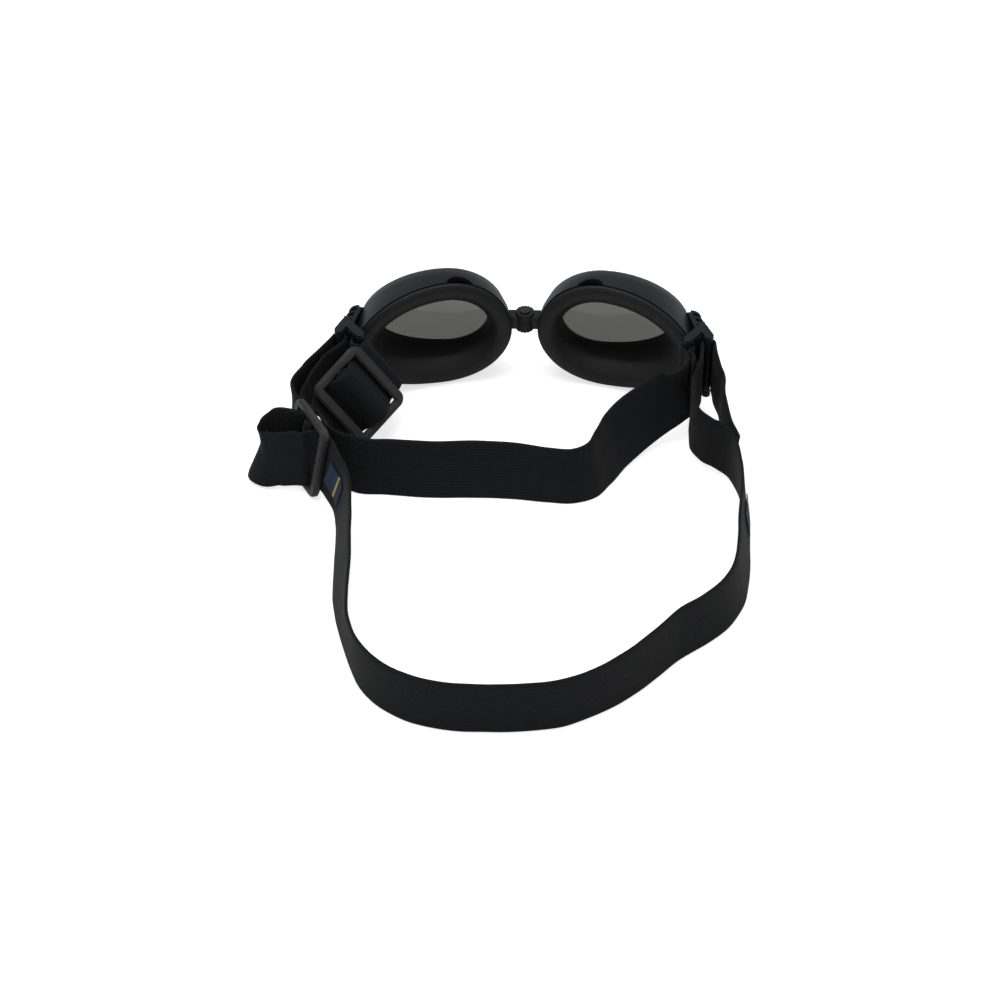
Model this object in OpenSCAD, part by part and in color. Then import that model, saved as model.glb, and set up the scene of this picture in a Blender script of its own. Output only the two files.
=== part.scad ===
// Dog goggles: two lens cups hinged at the nose, with an elastic head strap and chin strap.
// The lenses face +Y, the straps trail towards -Y, and the strap stands on the ground at Z = 0.

/* [Eye cups] */
// Distance from the nose hinge axis to the nose edge of a cup
cup_gap = 5.4; // [4.9:0.1:6.4]
// Width of a cup from its nose edge to its temple end
cup_w = 65.6; // [62:0.2:70]
// Height of a cup
cup_h = 52; // [49:0.5:55]
// Share of the cup width that lies on the nose side of its tallest section
cup_belly = 0.42; // [0.36:0.01:0.48]
// Depth of a cup from the face rim to the front of the lens rim
cup_depth = 15; // [14:0.1:16.5]
// Slope of the lens: its lower edge stands forward by this share of the height
lens_slope = 0.12; // [0.06:0.01:0.16]
// Bend radius of the rim that meets the face
rim_bend_r = 112; // [108:2:140]
// Bend radius of the lens
lens_bend_r = 175; // [160:5:260]
// How far the cup wall tapers in towards the lens
cup_taper = 2.8; // [2:0.1:3.4]
// Thickness of the moulded cup wall
shell_wall = 2; // [1.6:0.1:2.4]
// Height of one cup's lowest edge above the ground
cup_lift = 0.5; // [0.2:0.1:1.5]

/* [Lens and gasket] */
// Thickness of the lens
lens_t = 1.8; // [1.4:0.1:2.2]
// Thickness of the rim ring in front of the lens
rim_t = 1.6; // [1.2:0.1:2]
// Width of the rim ring
rim_w = 4.6; // [4:0.1:5.6]
// Thickness of the seat flange behind the lens
seat_t = 1.6; // [1.2:0.1:2]
// Width of the soft gasket lip
lip_w = 10; // [9:0.1:10.8]
// How far the gasket lip stands behind the cup wall
lip_proud = 2.2; // [1.6:0.1:3]
// Radius of the arched vent notch in the top of the cup wall
notch_r = 5.5; // [4.5:0.1:6.5]
// Distance of the vent notch from the nose hinge axis
notch_s = 26.7; // [20:0.1:34]
// Radius of the foam plug under the notch
plug_r = 2.6; // [2:0.1:3]
// Radius of the foam disc behind the temple louvres
disc_r = 5; // [3.5:0.1:6]

/* [Temples] */
// Turn of the temple piece from straight back
temple_turn = 16; // [12:1:20]
// Thickness of the temple base plate
temple_t = 2; // [1.6:0.1:2.6]
// Length of the temple base plate
temple_len = 16.5; // [15.5:0.1:17.5]
// Height of the temple base plate
temple_h = 21; // [18:0.5:24]
// Number of louvre fins
fin_count = 5; // [3:1:5]
// Spacing of the louvre fins
fin_pitch = 3.7; // [3.3:0.1:3.9]
// Thickness of a louvre fin
fin_t = 1.3; // [1:0.1:1.6]
// How far a louvre fin stands out
fin_reach = 4.6; // [3.5:0.1:6]
// Backward slope of the louvre fins
fin_slope = 24; // [10:1:30]
// Thickness of the rails that carry the strap bars
rail_t = 2.2; // [2:0.1:3]

/* [Straps] */
// Width of the elastic strap
strap_w = 25; // [24:0.1:26]
// Thickness of the elastic strap
strap_t = 1.6; // [1.2:0.1:1.7]
// Diameter of the round bars that the straps run over
bar_d = 3; // [2.6:0.1:3.2]
// Size of the sewn label along the strap
label_len = 13; // [8:1:16]
// Height of the sewn label
label_h = 12; // [8:1:18]
// Thickness of the sewn label
label_t = 0.5; // [0.3:0.1:0.8]

/* [Buckles] */
// Length of a buckle along its strap
buckle_len = 27; // [26:0.5:28]
// Width of the two end bars of a buckle
buckle_bar = 4; // [3.4:0.1:4.4]
// Width of the side rails of a buckle
buckle_rail = 3.2; // [2.6:0.1:4]
// Thickness of a buckle
buckle_t = 3; // [2.4:0.1:3]
// Corner radius of a buckle
buckle_corner = 4; // [3:0.1:5]
// Edge bevel of a buckle
buckle_bevel = 0.6; // [0.3:0.1:0.8]

/* [Nose hinge] */
// Diameter of the hinge barrel
barrel_d = 7.6; // [6.8:0.1:8]
// Height of the hinge barrel
barrel_h = 8.6; // [7.6:0.1:10]
// Height of the arms beside the barrel
arm_h = 6.2; // [5:0.1:7]
// Thickness of the arms from front to back
arm_t = 5; // [4:0.1:6]
// Diameter of the hinge pin
pin_d = 2.4; // [2:0.1:3]
// Diameter of the pin heads
head_d = 4.4; // [3.8:0.1:5.2]
// Thickness of a pin head
head_t = 0.8; // [0.6:0.1:1.2]
// Number of grip flutes round the barrel
flute_count = 16; // [8:1:20]
// How far the right half is folded in at rest
rest_fold = 3; // [0:1:6]

/* [Hidden] */

// Gap between pieces that lie against each other
seat_gap = 0.1;
// Radial clearance of the hinge pin in its bores
pin_fit = 0.05;
// Room on each side of a strap in a slot
slot_room = 0.9;
// Gap between the strap and what it runs over
strap_gap = 0.1;
// Gap between the two hinge knuckles
knuckle_gap = 0.2;
// Steps round a cup outline
cup_steps = 60;
// Longest step along a strap
strap_step = 3.4;
// Smoothness of round solids
$fn = 48;

LEFT = -1;
RIGHT = 1;
// Place of the nose hinge axis, before the whole object is centred
bridge_x = 10.4;
bridge_y = 83;
// Offset that puts the middle of the object's box over the origin
plan_shift = [1.25, 16.68, 0];
// The straps sit this much lower, so that the ground trims their lower edge flat
strap_shift = plan_shift - [0, 0, 0.35];

nose_reach = cup_w * cup_belly;
temple_reach = cup_w - nose_reach;
belly_s = cup_gap + nose_reach;
mid_z = cup_lift + cup_h / 2;
// Distance of the hinge axis in front of the rim's nose edge
hinge_y = 6;
// Distances from the hinge axis where the rim and the lens start to bend back
rim_bend_s = cup_gap + 2.6;
lens_bend_s = cup_gap + 16.6;
// Place of the middle of the temple plate
temple_s = cup_gap + cup_w - 2.4;
temple_y = -4;
temple_front = -7;
temple_rear = temple_front + temple_len;
post_rear = temple_rear + 3.5;
// Places of the strap bars, back and out from the middle of the temple plate
head_bar = [post_rear + bar_d / 2 + strap_t + 1.4, bar_d / 2 + 1];
chin_bar = [post_rear + bar_d / 2 + strap_t + 1.5, head_bar[1] - 4 * strap_t - bar_d / 2 - 1.1];
rail_gap = strap_w / 2 + slot_room;
wrap_r = bar_d / 2 + strap_gap + strap_t / 2;
outer_wrap_r = wrap_r + strap_t + 2 * strap_gap;
lens_back = rim_t + seat_gap + lens_t;
seat_back = lens_back + seat_gap + seat_t;
buckle_h = strap_w + 2 * slot_room + 2 * buckle_rail;
bar_in = buckle_len / 2 - buckle_bar;
bar_mid = buckle_len / 2 - buckle_bar / 2;

function unit(v) = v / norm(v);
function lerp(a, b, f) = a + (b - a) * f;
function turn(v, a) = [v[0] * cos(a) - v[1] * sin(a), v[0] * sin(a) + v[1] * cos(a)];

// Point of the cup outline at angle a, moved inwards square to the outline
function cup_point(a, inset) =
    let (rx = cos(a) < 0 ? nose_reach : temple_reach, rz = cup_h / 2)
    [belly_s + rx * cos(a), mid_z + rz * sin(a)] - inset * unit([cos(a) / rx, sin(a) / rz]);

// Depth of the face rim and of the front of the cup at distance s from the hinge axis
function rim_y(s) = -pow(max(s - rim_bend_s, 0), 2) / (2 * rim_bend_r);
function front_y(s, z) = cup_depth - pow(s - lens_bend_s, 2) / (2 * lens_bend_r) + (mid_z - z) * lens_slope;
function from_rim(a, inset, back) = let (p = cup_point(a, inset)) [p[0], rim_y(p[0]) - back, p[1]];
function from_front(a, inset, back) =
    let (p = cup_point(a, inset)) [p[0], front_y(p[0], p[1]) - back, p[1]];

// Closed ring lofted from one section per angle
module ring_loft(sections) {
    n = len(sections);
    m = len(sections[0]);
    polyhedron(
        points = [for (ring = sections) for (p = ring) p],
        faces = [for (i = [0:n - 1]) for (j = [0:m - 1])
            let (a = i * m + j, b = i * m + (j + 1) % m,
                c = ((i + 1) % n) * m + (j + 1) % m, d = ((i + 1) % n) * m + j)
            each [[a, c, b], [a, d, c]]]);
}

function angles() = [for (i = [0:cup_steps - 1]) i * 360 / cup_steps];

// One half of the goggles: drawn for the right side, mirrored for the left
module half(side) {
    translate(plan_shift)
        translate([bridge_x, bridge_y, 0])
            rotate([0, 0, side == RIGHT ? -rest_fold : 0])
                mirror([side == LEFT ? 1 : 0, 0, 0])
                    translate([0, -hinge_y, 0])
                        children();
}

// Plan point of one half: s out from the hinge axis, y forward of the rim's nose edge
function half_point(side, s, y) =
    let (p = turn([s, y - hinge_y], side == RIGHT ? -rest_fold : 0))
    [bridge_x + side * p[0], bridge_y + p[1]];

module on_temple() {
    translate([temple_s, temple_y, 0]) rotate([0, 0, temple_turn - 90]) children();
}

function temple_point(side, u, n) = half_point(side,
    temple_s + u * sin(temple_turn) + n * cos(temple_turn),
    temple_y - u * cos(temple_turn) + n * sin(temple_turn));

module cup_shell() {
    ring_loft([for (a = angles()) [
        from_rim(a, 0, 0),
        from_front(a, cup_taper * 0.3, cup_depth * 0.5),
        from_front(a, cup_taper * 0.75, cup_depth * 0.25),
        from_front(a, cup_taper, rim_t + seat_gap),
        from_front(a, cup_taper + shell_wall, rim_t + seat_gap),
        from_front(a, cup_taper + shell_wall, lens_back + seat_gap),
        from_front(a, lip_w, lens_back + seat_gap),
        from_front(a, lip_w, seat_back),
        from_front(a, cup_taper + shell_wall, seat_back),
        from_rim(a, shell_wall, 0)]]);
}

// Round opening behind the temple plate for the side foam
module side_bore() {
    on_temple()
        translate([0, -cup_w / 4, mid_z])
            rotate([-90, 23, 0])
                cylinder(h = cup_w / 2, r = disc_r + seat_gap);
}

module frame() {
    difference() {
        union() {
            cup_shell();
            translate([cup_gap - seat_gap, hinge_y - arm_t / 2, mid_z - arm_h / 2])
                cube([shell_wall, arm_t, arm_h]);
        }
        translate([notch_s, rim_y(notch_s) - notch_r * 0.22, mid_z])
            cylinder(h = cup_h, r = notch_r);
        on_temple()
            translate([temple_front - cup_w, -seat_gap, mid_z - cup_h])
                cube([2 * cup_w, cup_w, 2 * cup_h]);
        side_bore();
    }
}

module gasket() {
    difference() {
        ring_loft([for (a = angles()) [
            from_rim(a, shell_wall + seat_gap, seat_gap),
            from_front(a, cup_taper + shell_wall + seat_gap, seat_back + seat_gap),
            from_front(a, lip_w, seat_back + seat_gap),
            from_rim(a, lip_w, 0),
            from_rim(a, lip_w * 0.85, lip_proud * 0.7),
            from_rim(a, lip_w * 0.55, lip_proud),
            from_rim(a, 2.2, lip_proud * 0.9),
            from_rim(a, 0.7, lip_proud * 0.55),
            from_rim(a, 0.4, seat_gap)]]);
        vent_plug(seat_gap);
        side_bore();
    }
}

// Upright foam plug in the gasket below the notch
module vent_plug(room) {
    top_z = cup_point(110, shell_wall + cup_taper * 0.6)[1];
    translate([notch_s, rim_y(notch_s) + plug_r + 0.6, top_z - lip_w / 2])
        cylinder(h = lip_w / 2 - seat_gap + 30 * room, r = plug_r + room);
}

module side_plug() {
    on_temple()
        translate([0, -5.6, mid_z])
            rotate([-90, 0, 0])
                cylinder(h = 5.6 - 2 * seat_gap, r = disc_r);
}

// Curved lens between two depths behind the front of the cup
module lens() {
    edge = cup_taper + shell_wall + seat_gap;
    rings = [0.3, 0.65, 1];
    n = cup_steps;
    k = len(rings);
    middle = [belly_s + 3, mid_z];
    function disc(back) = [for (f = rings) for (a = angles())
        let (p = lerp(middle, cup_point(a, edge), f)) [p[0], front_y(p[0], p[1]) - back, p[1]]];
    function hub(back) = [[middle[0], front_y(middle[0], mid_z) - back, middle[1]]];
    other = k * n + 1;
    polyhedron(
        points = concat(disc(rim_t + seat_gap), hub(rim_t + seat_gap), disc(lens_back), hub(lens_back)),
        faces = concat(
            [for (i = [0:n - 1]) let (j = (i + 1) % n) [k * n, i, j]],
            [for (i = [0:n - 1]) let (j = (i + 1) % n) [other + k * n, other + j, other + i]],
            [for (r = [0:k - 2]) for (i = [0:n - 1]) let (j = (i + 1) % n, a = r * n, b = (r + 1) * n)
                each [[a + i, b + i, b + j], [a + i, b + j, a + j]]],
            [for (r = [0:k - 2]) for (i = [0:n - 1])
                let (j = (i + 1) % n, a = other + r * n, b = other + (r + 1) * n)
                each [[a + i, b + j, b + i], [a + i, a + j, b + j]]],
            [for (i = [0:n - 1]) let (j = (i + 1) % n, a = (k - 1) * n, b = other + (k - 1) * n)
                each [[a + i, b + i, b + j], [a + i, b + j, a + j]]]));
}

module lens_rim() {
    ring_loft([for (a = angles()) [
        from_front(a, cup_taper, rim_t),
        from_front(a, cup_taper + 0.3, rim_t * 0.4),
        from_front(a, cup_taper + 1.1, 0),
        from_front(a, cup_taper + rim_w * 0.7, 0.1),
        from_front(a, cup_taper + rim_w, rim_t * 0.6),
        from_front(a, cup_taper + rim_w, rim_t)]]);
}

// Flat link with round ends
module link(a, b, r) {
    span = b - a;
    translate(a) circle(r = r);
    translate(b) circle(r = r);
    translate(a) rotate([0, 0, atan2(span[1], span[0])]) translate([0, -r]) square([norm(span), 2 * r]);
}

module rounded_plate(w, h, r) {
    for (x = [-1, 1]) for (y = [-1, 1]) translate([x * (w / 2 - r), y * (h / 2 - r)]) circle(r = r);
    square([w - 2 * r, h], center = true);
    square([w, h - 2 * r], center = true);
}

// One louvre fin: a round-shouldered blade that stands out from the base plate
module fin() {
    rotate([0, 0, -fin_slope])
        translate([-fin_t / 2, -0.4, mid_z])
            rotate([90, 0, 90])
                linear_extrude(fin_t)
                    intersection() {
                        rounded_plate(2 * fin_reach, temple_h - 1.2, fin_reach * 0.8);
                        translate([0, -temple_h / 2]) square([2 * fin_reach, temple_h]);
                    }
}

function fin_at(i) = (temple_front + temple_rear) / 2 + (i - (fin_count - 1) / 2) * fin_pitch;

module temple() {
    post_n = head_bar[1] + 0.5;
    on_temple() {
        difference() {
            union() {
                translate([(temple_front + temple_rear) / 2, temple_t, mid_z])
                    rotate([90, 0, 0])
                        linear_extrude(temple_t) rounded_plate(temple_len, temple_h, 3);
                translate([temple_rear - 1, 0, mid_z - rail_gap - rail_t])
                    cube([post_rear - temple_rear + 1, post_n, 2 * (rail_gap + rail_t)]);
            }
            for (i = [0:fin_count - 2])
                translate([fin_at(i + 0.5), temple_t + 1, mid_z])
                    rotate([90, 0, 0])
                        linear_extrude(temple_t + 2) rounded_plate(1.8, temple_h * 0.6, 0.8);
        }
        for (i = [0:fin_count - 1])
            translate([fin_at(i), temple_t, 0]) fin();
        for (z = [mid_z - rail_gap - rail_t, mid_z + rail_gap])
            translate([0, 0, z])
                linear_extrude(rail_t) {
                    link([post_rear - 1.7, post_n / 2], head_bar, bar_d / 2 + 0.3);
                    link([post_rear - 1.7, post_n / 2], chin_bar, bar_d / 2 + 0.3);
                }
        for (bar = [head_bar, chin_bar])
            translate([bar[0], bar[1], mid_z - rail_gap - rail_t / 2])
                cylinder(h = 2 * rail_gap + rail_t, d = bar_d);
    }
}

// Hinge arm: one knuckle, an arm that meets the frame's boss, and a bore for the pin
module bridge_arm(upper) {
    low = mid_z + (upper ? knuckle_gap / 2 : -barrel_h / 2);
    tall = (barrel_h - knuckle_gap) / 2;
    other_low = mid_z + (upper ? -barrel_h / 2 : -knuckle_gap / 2);
    difference() {
        union() {
            translate([0, hinge_y, low]) cylinder(h = tall, d = barrel_d);
            translate([0, hinge_y - arm_t / 2, mid_z - arm_h / 2])
                cube([cup_gap - seat_gap, arm_t, arm_h]);
        }
        translate([0, hinge_y, other_low])
            cylinder(h = (barrel_h + knuckle_gap) / 2, d = barrel_d + 2 * knuckle_gap);
        translate([0, hinge_y, mid_z - barrel_h]) cylinder(h = 2 * barrel_h, r = pin_d / 2 + pin_fit);
        for (i = [0:flute_count - 1])
            let (a = (i + 0.5) * 360 / flute_count)
                if (abs(a - 180) < 180 - atan2(arm_t / 2 + 0.6, barrel_d / 2))
                    translate([barrel_d / 2 * cos(a), hinge_y + barrel_d / 2 * sin(a), low - 1])
                        cylinder(h = tall + 2, r = 0.35);
    }
}

module pin() {
    reach = barrel_h / 2 + seat_gap;
    translate([0, hinge_y, mid_z - reach]) cylinder(h = 2 * reach, d = pin_d);
    translate([0, hinge_y, mid_z + reach]) cylinder(h = head_t, d = head_d);
    translate([0, hinge_y, mid_z - reach - head_t]) cylinder(h = head_t, d = head_d);
}

// A buckle's frame: middle, direction along the strap, side of the hump, and up
function buckle_frame(c, t, w) =
    let (along = unit(t), up = unit(w - (w * along) * along)) [c, along, unit(cross(along, up)), up];

head_buckle_at = buckle_frame([-77.1, 12.7, 17], [0.466, -0.885, 0], [0.18, 0.1, 0.98]);
chin_buckle_at = buckle_frame([-57.1, 37.2, 24.3], [-0.652, -0.643, -0.406], [-0.596, 0.102, 0.795]);

// Strap row [x, y, z, then the up direction] at t along and h out in a buckle
function in_buckle(f, side, t, h) = concat(f[0] + t * f[1] + side * h * f[2], f[3]);
function arc_rows(f, side, r, a0, a1, n) =
    [for (i = [0:n]) let (a = lerp(a0, a1, i / n)) in_buckle(f, side, r * cos(a), r * sin(a))];

// Strap rows round a temple bar, in plan, from angle a0 to a1
function bar_rows(side, bar, r, a0, a1, n) =
    let (c = temple_point(side, bar[0], bar[1]))
    [for (i = [0:n]) let (a = lerp(a0, a1, i / n))
        [c[0] + r * cos(a), c[1] + r * sin(a), mid_z, 0, 0, 1]];

under = buckle_t / 2 + 2 * strap_gap + strap_t / 2;
below = under + strap_t + 3 * strap_gap;

// The sewn end: wrapped round the middle bar, then out below the running layer
function sewn_rows(f, side) = concat(
    arc_rows(f, side, wrap_r, -95, 150, 10),
    [in_buckle(f, side, -wrap_r - 1.9, -1.4),
        in_buckle(f, side, -bar_in + 2.9, -below + 1.1),
        in_buckle(f, side, -bar_in, -below),
        in_buckle(f, side, -bar_mid - 1, -below)]);

// The running layer below one end bar and up towards the middle
function rise_rows(f, side, end) = [
    in_buckle(f, side, end * (bar_mid + 1), -under),
    in_buckle(f, side, end * bar_in, -under),
    in_buckle(f, side, end * (bar_in - 2.1), -under + 1.3),
    in_buckle(f, side, end * (bar_in - 3.6), -under + 3.1)];
function fall_rows(f, side, end) = let (r = rise_rows(f, side, end)) [r[3], r[2], r[1], r[0]];

HEAD_SIDE = 1;
CHIN_SIDE = -1;
// How far behind the chin buckle's upper bar its strap turns
turn_back = 2.2;

// Hand-set rows of the head strap: slack loop, left side, front, right side
slack_rows = [
    [-82.5, 17.9, 18.1, 0.19, 0.1, 0.98],
    [-87.5, 20.4, 16.4, 0.22, 0.1, 0.97],
    [-92.8, 20.6, 14.4, 0.24, 0.1, 0.96],
    [-96.6, 18, 13, 0.25, 0.1, 0.96],
    [-97.6, 14, 13, 0.25, 0.06, 0.96],
    [-95.2, 10.6, 13.2, 0.24, 0.02, 0.96],
    [-90, 8.6, 14.6, 0.22, 0, 0.97],
    [-83, 7.2, 16, 0.2, 0.04, 0.98],
    [-78, 6.6, 16.8, 0.19, 0.1, 0.98]];
loop_rows = [
    [-66, -3, 15.2, 0.2, 0.05, 0.98],
    [-63.2, -8.5, 13.7, 0.22, 0, 0.97],
    [-61.8, -16, 12.6, 0.24, 0, 0.97],
    [-61.2, -28, 12.4, 0.26, 0, 0.96],
    [-61, -44, 12.2, 0.28, 0, 0.96],
    [-60.5, -60, 12.2, 0.28, 0, 0.96],
    [-59.2, -76, 12.4, 0.14, 0, 0.99],
    [-56.6, -92, 12.6, 0, 0, 1],
    [-52.4, -104, 12.6, 0, 0, 1],
    [-45, -114, 12.6, 0, 0, 1],
    [-34.5, -121.4, 12.6, 0, 0, 1],
    [-21, -125.8, 12.6, 0, 0, 1],
    [-6, -127, 12.6, 0, 0, 1],
    [9, -126.6, 12.6, 0, 0, 1],
    [22, -124.6, 12.6, 0, 0, 1],
    [36, -118, 12.6, 0, 0, 1],
    [48, -109, 12.6, 0, 0.05, 1],
    [58.5, -98.4, 12.6, 0, 0.08, 1],
    [67.5, -88.4, 12.6, -0.04, 0.08, 1],
    [77.6, -80.4, 12.6, -0.08, 0.06, 1],
    [85.6, -72, 12.5, -0.12, 0.04, 0.99],
    [91.2, -61, 12.4, -0.17, 0, 0.98],
    [93.8, -48, 12.3, -0.2, 0, 0.98],
    [95.2, -32, 12.3, -0.2, 0, 0.98],
    [96.4, -16, 12.6, -0.14, 0, 0.99],
    [96.6, -1, 13.8, -0.06, 0, 1],
    [94.8, 13, 17, 0, 0, 1],
    [91.6, 25, 21.8, 0, 0, 1]];

// Hand-set rows of the chin strap from its buckle to the right temple
chin_rows = [
    [-68.8, 28.2, 16, -0.34, 0.1, 0.93],
    [-69.2, 24, 14.6, -0.18, 0.05, 0.98],
    [-68.9, 18.8, 13.5, -0.08, 0, 1],
    [-66, 14, 12.8, 0.06, 0, 1],
    [-61.8, 10.6, 12.4, 0.2, 0.1, 0.97],
    [-56, 7.8, 12, 0.3, 0.2, 0.93],
    [-44, 6.8, 11.9, 0.2, 0.26, 0.94],
    [-27, 5.4, 11.8, 0.08, 0.3, 0.95],
    [-10, 5.6, 11.8, 0, 0.33, 0.94],
    [6, 4.4, 11.9, 0, 0.3, 0.95],
    [19, 1.8, 12.1, 0, 0.24, 0.97],
    [29, 1, 12.2, -0.04, 0.22, 0.97],
    [36.4, 4.6, 12, -0.1, 0.28, 0.95],
    [41.6, 13, 11.8, -0.22, 0.3, 0.92],
    [47.2, 23.6, 12, -0.34, 0.3, 0.88],
    [54.4, 32, 13.6, -0.42, 0.28, 0.86],
    [63, 38, 17.4, -0.34, 0.18, 0.92],
    [70, 42, 22, -0.16, 0.08, 0.98]];

head_rows = concat(
    sewn_rows(head_buckle_at, HEAD_SIDE),
    [[-79.9, 31.2, 17.2, 0.1, 0.06, 0.99], [-76.2, 39.8, 20.6, 0.04, 0, 1], [-70.6, 47.4, 24, 0, 0, 1]],
    bar_rows(LEFT, head_bar, wrap_r + 0.1, -16, 164, 10),
    [[-72, 51.4, 25.6, 0, 0, 1], [-77.6, 45.4, 23, 0.03, 0, 1], [-83.4, 37.6, 19.6, 0.08, 0.04, 1]],
    rise_rows(head_buckle_at, HEAD_SIDE, -1),
    slack_rows,
    fall_rows(head_buckle_at, HEAD_SIDE, 1),
    loop_rows,
    strap_end(RIGHT, head_bar, 1));

chin_all_rows = concat(
    sewn_rows(chin_buckle_at, CHIN_SIDE),
    arc_from(chin_buckle_at, CHIN_SIDE, 1.5, 3),
    bar_rows(LEFT, chin_bar, wrap_r + 1.1, -84, -276, 10),
    turn_to(chin_buckle_at, CHIN_SIDE, 3.4, 4),
    rise_rows(chin_buckle_at, CHIN_SIDE, -1),
    hump_rows(chin_buckle_at, CHIN_SIDE),
    fall_rows(chin_buckle_at, CHIN_SIDE, 1),
    chin_rows,
    strap_end(RIGHT, chin_bar, -1));

// Tight turn behind the chin buckle's upper bar
function turn_row(f, side, r, a) = in_buckle(f, side,
    -bar_mid - 1 - turn_back - r * sin(a), -under - 3.4 + r * cos(a));
function arc_from(f, side, r, n) = [for (i = [0:n]) turn_row(f, side, r, 96 * i / n)];
function turn_to(f, side, r, n) = [for (i = [0:n]) turn_row(f, side, r, 96 * (1 - i / n))];
function hump_rows(f, side) = arc_rows(f, side, outer_wrap_r + 0.5, 145, 35, 4);

// Sewn loop round a temple bar: out along one leg, round, and back beside it
function strap_end(side, bar, out) =
    let (c = temple_point(side, bar[0], bar[1]),
        d = unit(temple_point(side, bar[0] + 1, bar[1]) - c),
        q = unit(temple_point(side, bar[0], bar[1] + 1) - c) * out,
        pair = strap_t + 2 * strap_gap,
        row = function (u, n) let (p = c + d * u + q * n) [p[0], p[1], mid_z, 0, 0, 1])
    concat([row(10, pair / 2 + 0.4), row(5.5, wrap_r * 0.75)],
        [for (i = [0:10]) let (a = 80 - i * 26) row(-wrap_r * cos(a), wrap_r * sin(a))],
        [row(5.5, -pair * 0.4), row(9, -pair / 2 + 0.4)]);

// Smooth strap through its rows: chord-length cubic between each pair
function seg_len(rows, i) = norm([for (k = [0:2]) rows[i + 1][k] - rows[i][k]]);
function slope(rows, i) =
    let (last = len(rows) - 1)
    i == 0 ? (rows[1] - rows[0]) / seg_len(rows, 0) :
    i == last ? (rows[last] - rows[last - 1]) / seg_len(rows, last - 1) :
    let (a = seg_len(rows, i - 1), b = seg_len(rows, i))
    ((rows[i + 1] - rows[i]) / b * a + (rows[i] - rows[i - 1]) / a * b) / (a + b);
function hermite(p, q, m, k, d, t) =
    p * (2 * pow(t, 3) - 3 * t * t + 1) + m * d * (pow(t, 3) - 2 * t * t + t)
    + q * (3 * t * t - 2 * pow(t, 3)) + k * d * (pow(t, 3) - t * t);
function smooth(rows) = concat(
    [for (i = [0:len(rows) - 2])
        let (d = seg_len(rows, i), n = ceil(d / strap_step), m = slope(rows, i), k = slope(rows, i + 1))
        for (j = [0:n - 1]) hermite(rows[i], rows[i + 1], m, k, d, j / n)],
    [rows[len(rows) - 1]]);

function at(row) = [row[0], row[1], row[2]];
function up_of(row) = [row[3], row[4], row[5]];

// Flat band through smooth rows, lifted off the middle line by raise
module band(rows, w, t, raise = 0) {
    n = len(rows);
    corners = [for (i = [0:n - 1])
        let (a = at(rows[max(i - 1, 0)]), b = at(rows[min(i + 1, n - 1)]), d = unit(b - a),
            u = unit(up_of(rows[i]) - (up_of(rows[i]) * d) * d), s = cross(d, u), c = at(rows[i]) + raise * s)
        each [c + u * w / 2 + s * t / 2, c - u * w / 2 + s * t / 2,
            c - u * w / 2 - s * t / 2, c + u * w / 2 - s * t / 2]];
    polyhedron(
        points = corners,
        faces = concat(
            [[0, 1, 2], [0, 2, 3]],
            [for (i = [0:n - 2]) for (j = [0:3])
                let (a = 4 * i + j, b = 4 * i + (j + 1) % 4, c = b + 4, e = a + 4)
                each [[a, c, b], [a, e, c]]],
            [[4 * n - 4, 4 * n - 2, 4 * n - 3], [4 * n - 4, 4 * n - 1, 4 * n - 2]]));
}

// Lowers a strap onto the ground and trims its edge level with it
module flat_below() {
    difference() {
        translate(strap_shift) children();
        translate([-150, -150, -10]) cube([300, 300, 10]);
    }
}

module head_strap() {
    color("#1f2124") flat_below() band(smooth(head_rows), strap_w, strap_t);
}

module chin_strap() {
    color("#232528") flat_below() band(smooth(chin_all_rows), strap_w, strap_t);
}

// Sewn label on the outer face of the head strap, from y0 to y0 plus its length
module label(side, y0) {
    rows = [for (row = smooth(concat(fall_rows(head_buckle_at, HEAD_SIDE, 1), loop_rows)))
        if (side * row[0] > 0 && row[1] >= y0 && row[1] <= y0 + label_len) row];
    lift = strap_t / 2 + 2 * seat_gap + label_t / 2;
    color("#2b4f86") translate(strap_shift) band(rows, label_h, label_t, lift);
}

module buckle_plate(inset, t) {
    linear_extrude(t)
        difference() {
            rounded_plate(buckle_len - 2 * inset, buckle_h - 2 * inset, buckle_corner - inset);
            square([2 * bar_in + 2 * inset, strap_w + 2 * slot_room + 2 * inset], center = true);
        }
}

// Three-bar buckle: bevelled frame with a round middle bar
module buckle(f) {
    multmatrix([
        [f[1][0], f[3][0], -f[2][0], f[0][0] + strap_shift[0]],
        [f[1][1], f[3][1], -f[2][1], f[0][1] + strap_shift[1]],
        [f[1][2], f[3][2], -f[2][2], f[0][2] + strap_shift[2]]]) {
        translate([0, 0, -buckle_t / 2]) buckle_plate(buckle_bevel, buckle_t);
        translate([0, 0, -buckle_t / 2 + buckle_bevel]) buckle_plate(0, buckle_t - 2 * buckle_bevel);
        translate([0, (strap_w + buckle_rail) / 2 + slot_room, 0])
            rotate([90, 0, 0])
                cylinder(h = strap_w + 2 * slot_room + buckle_rail, d = bar_d);
    }
}

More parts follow.
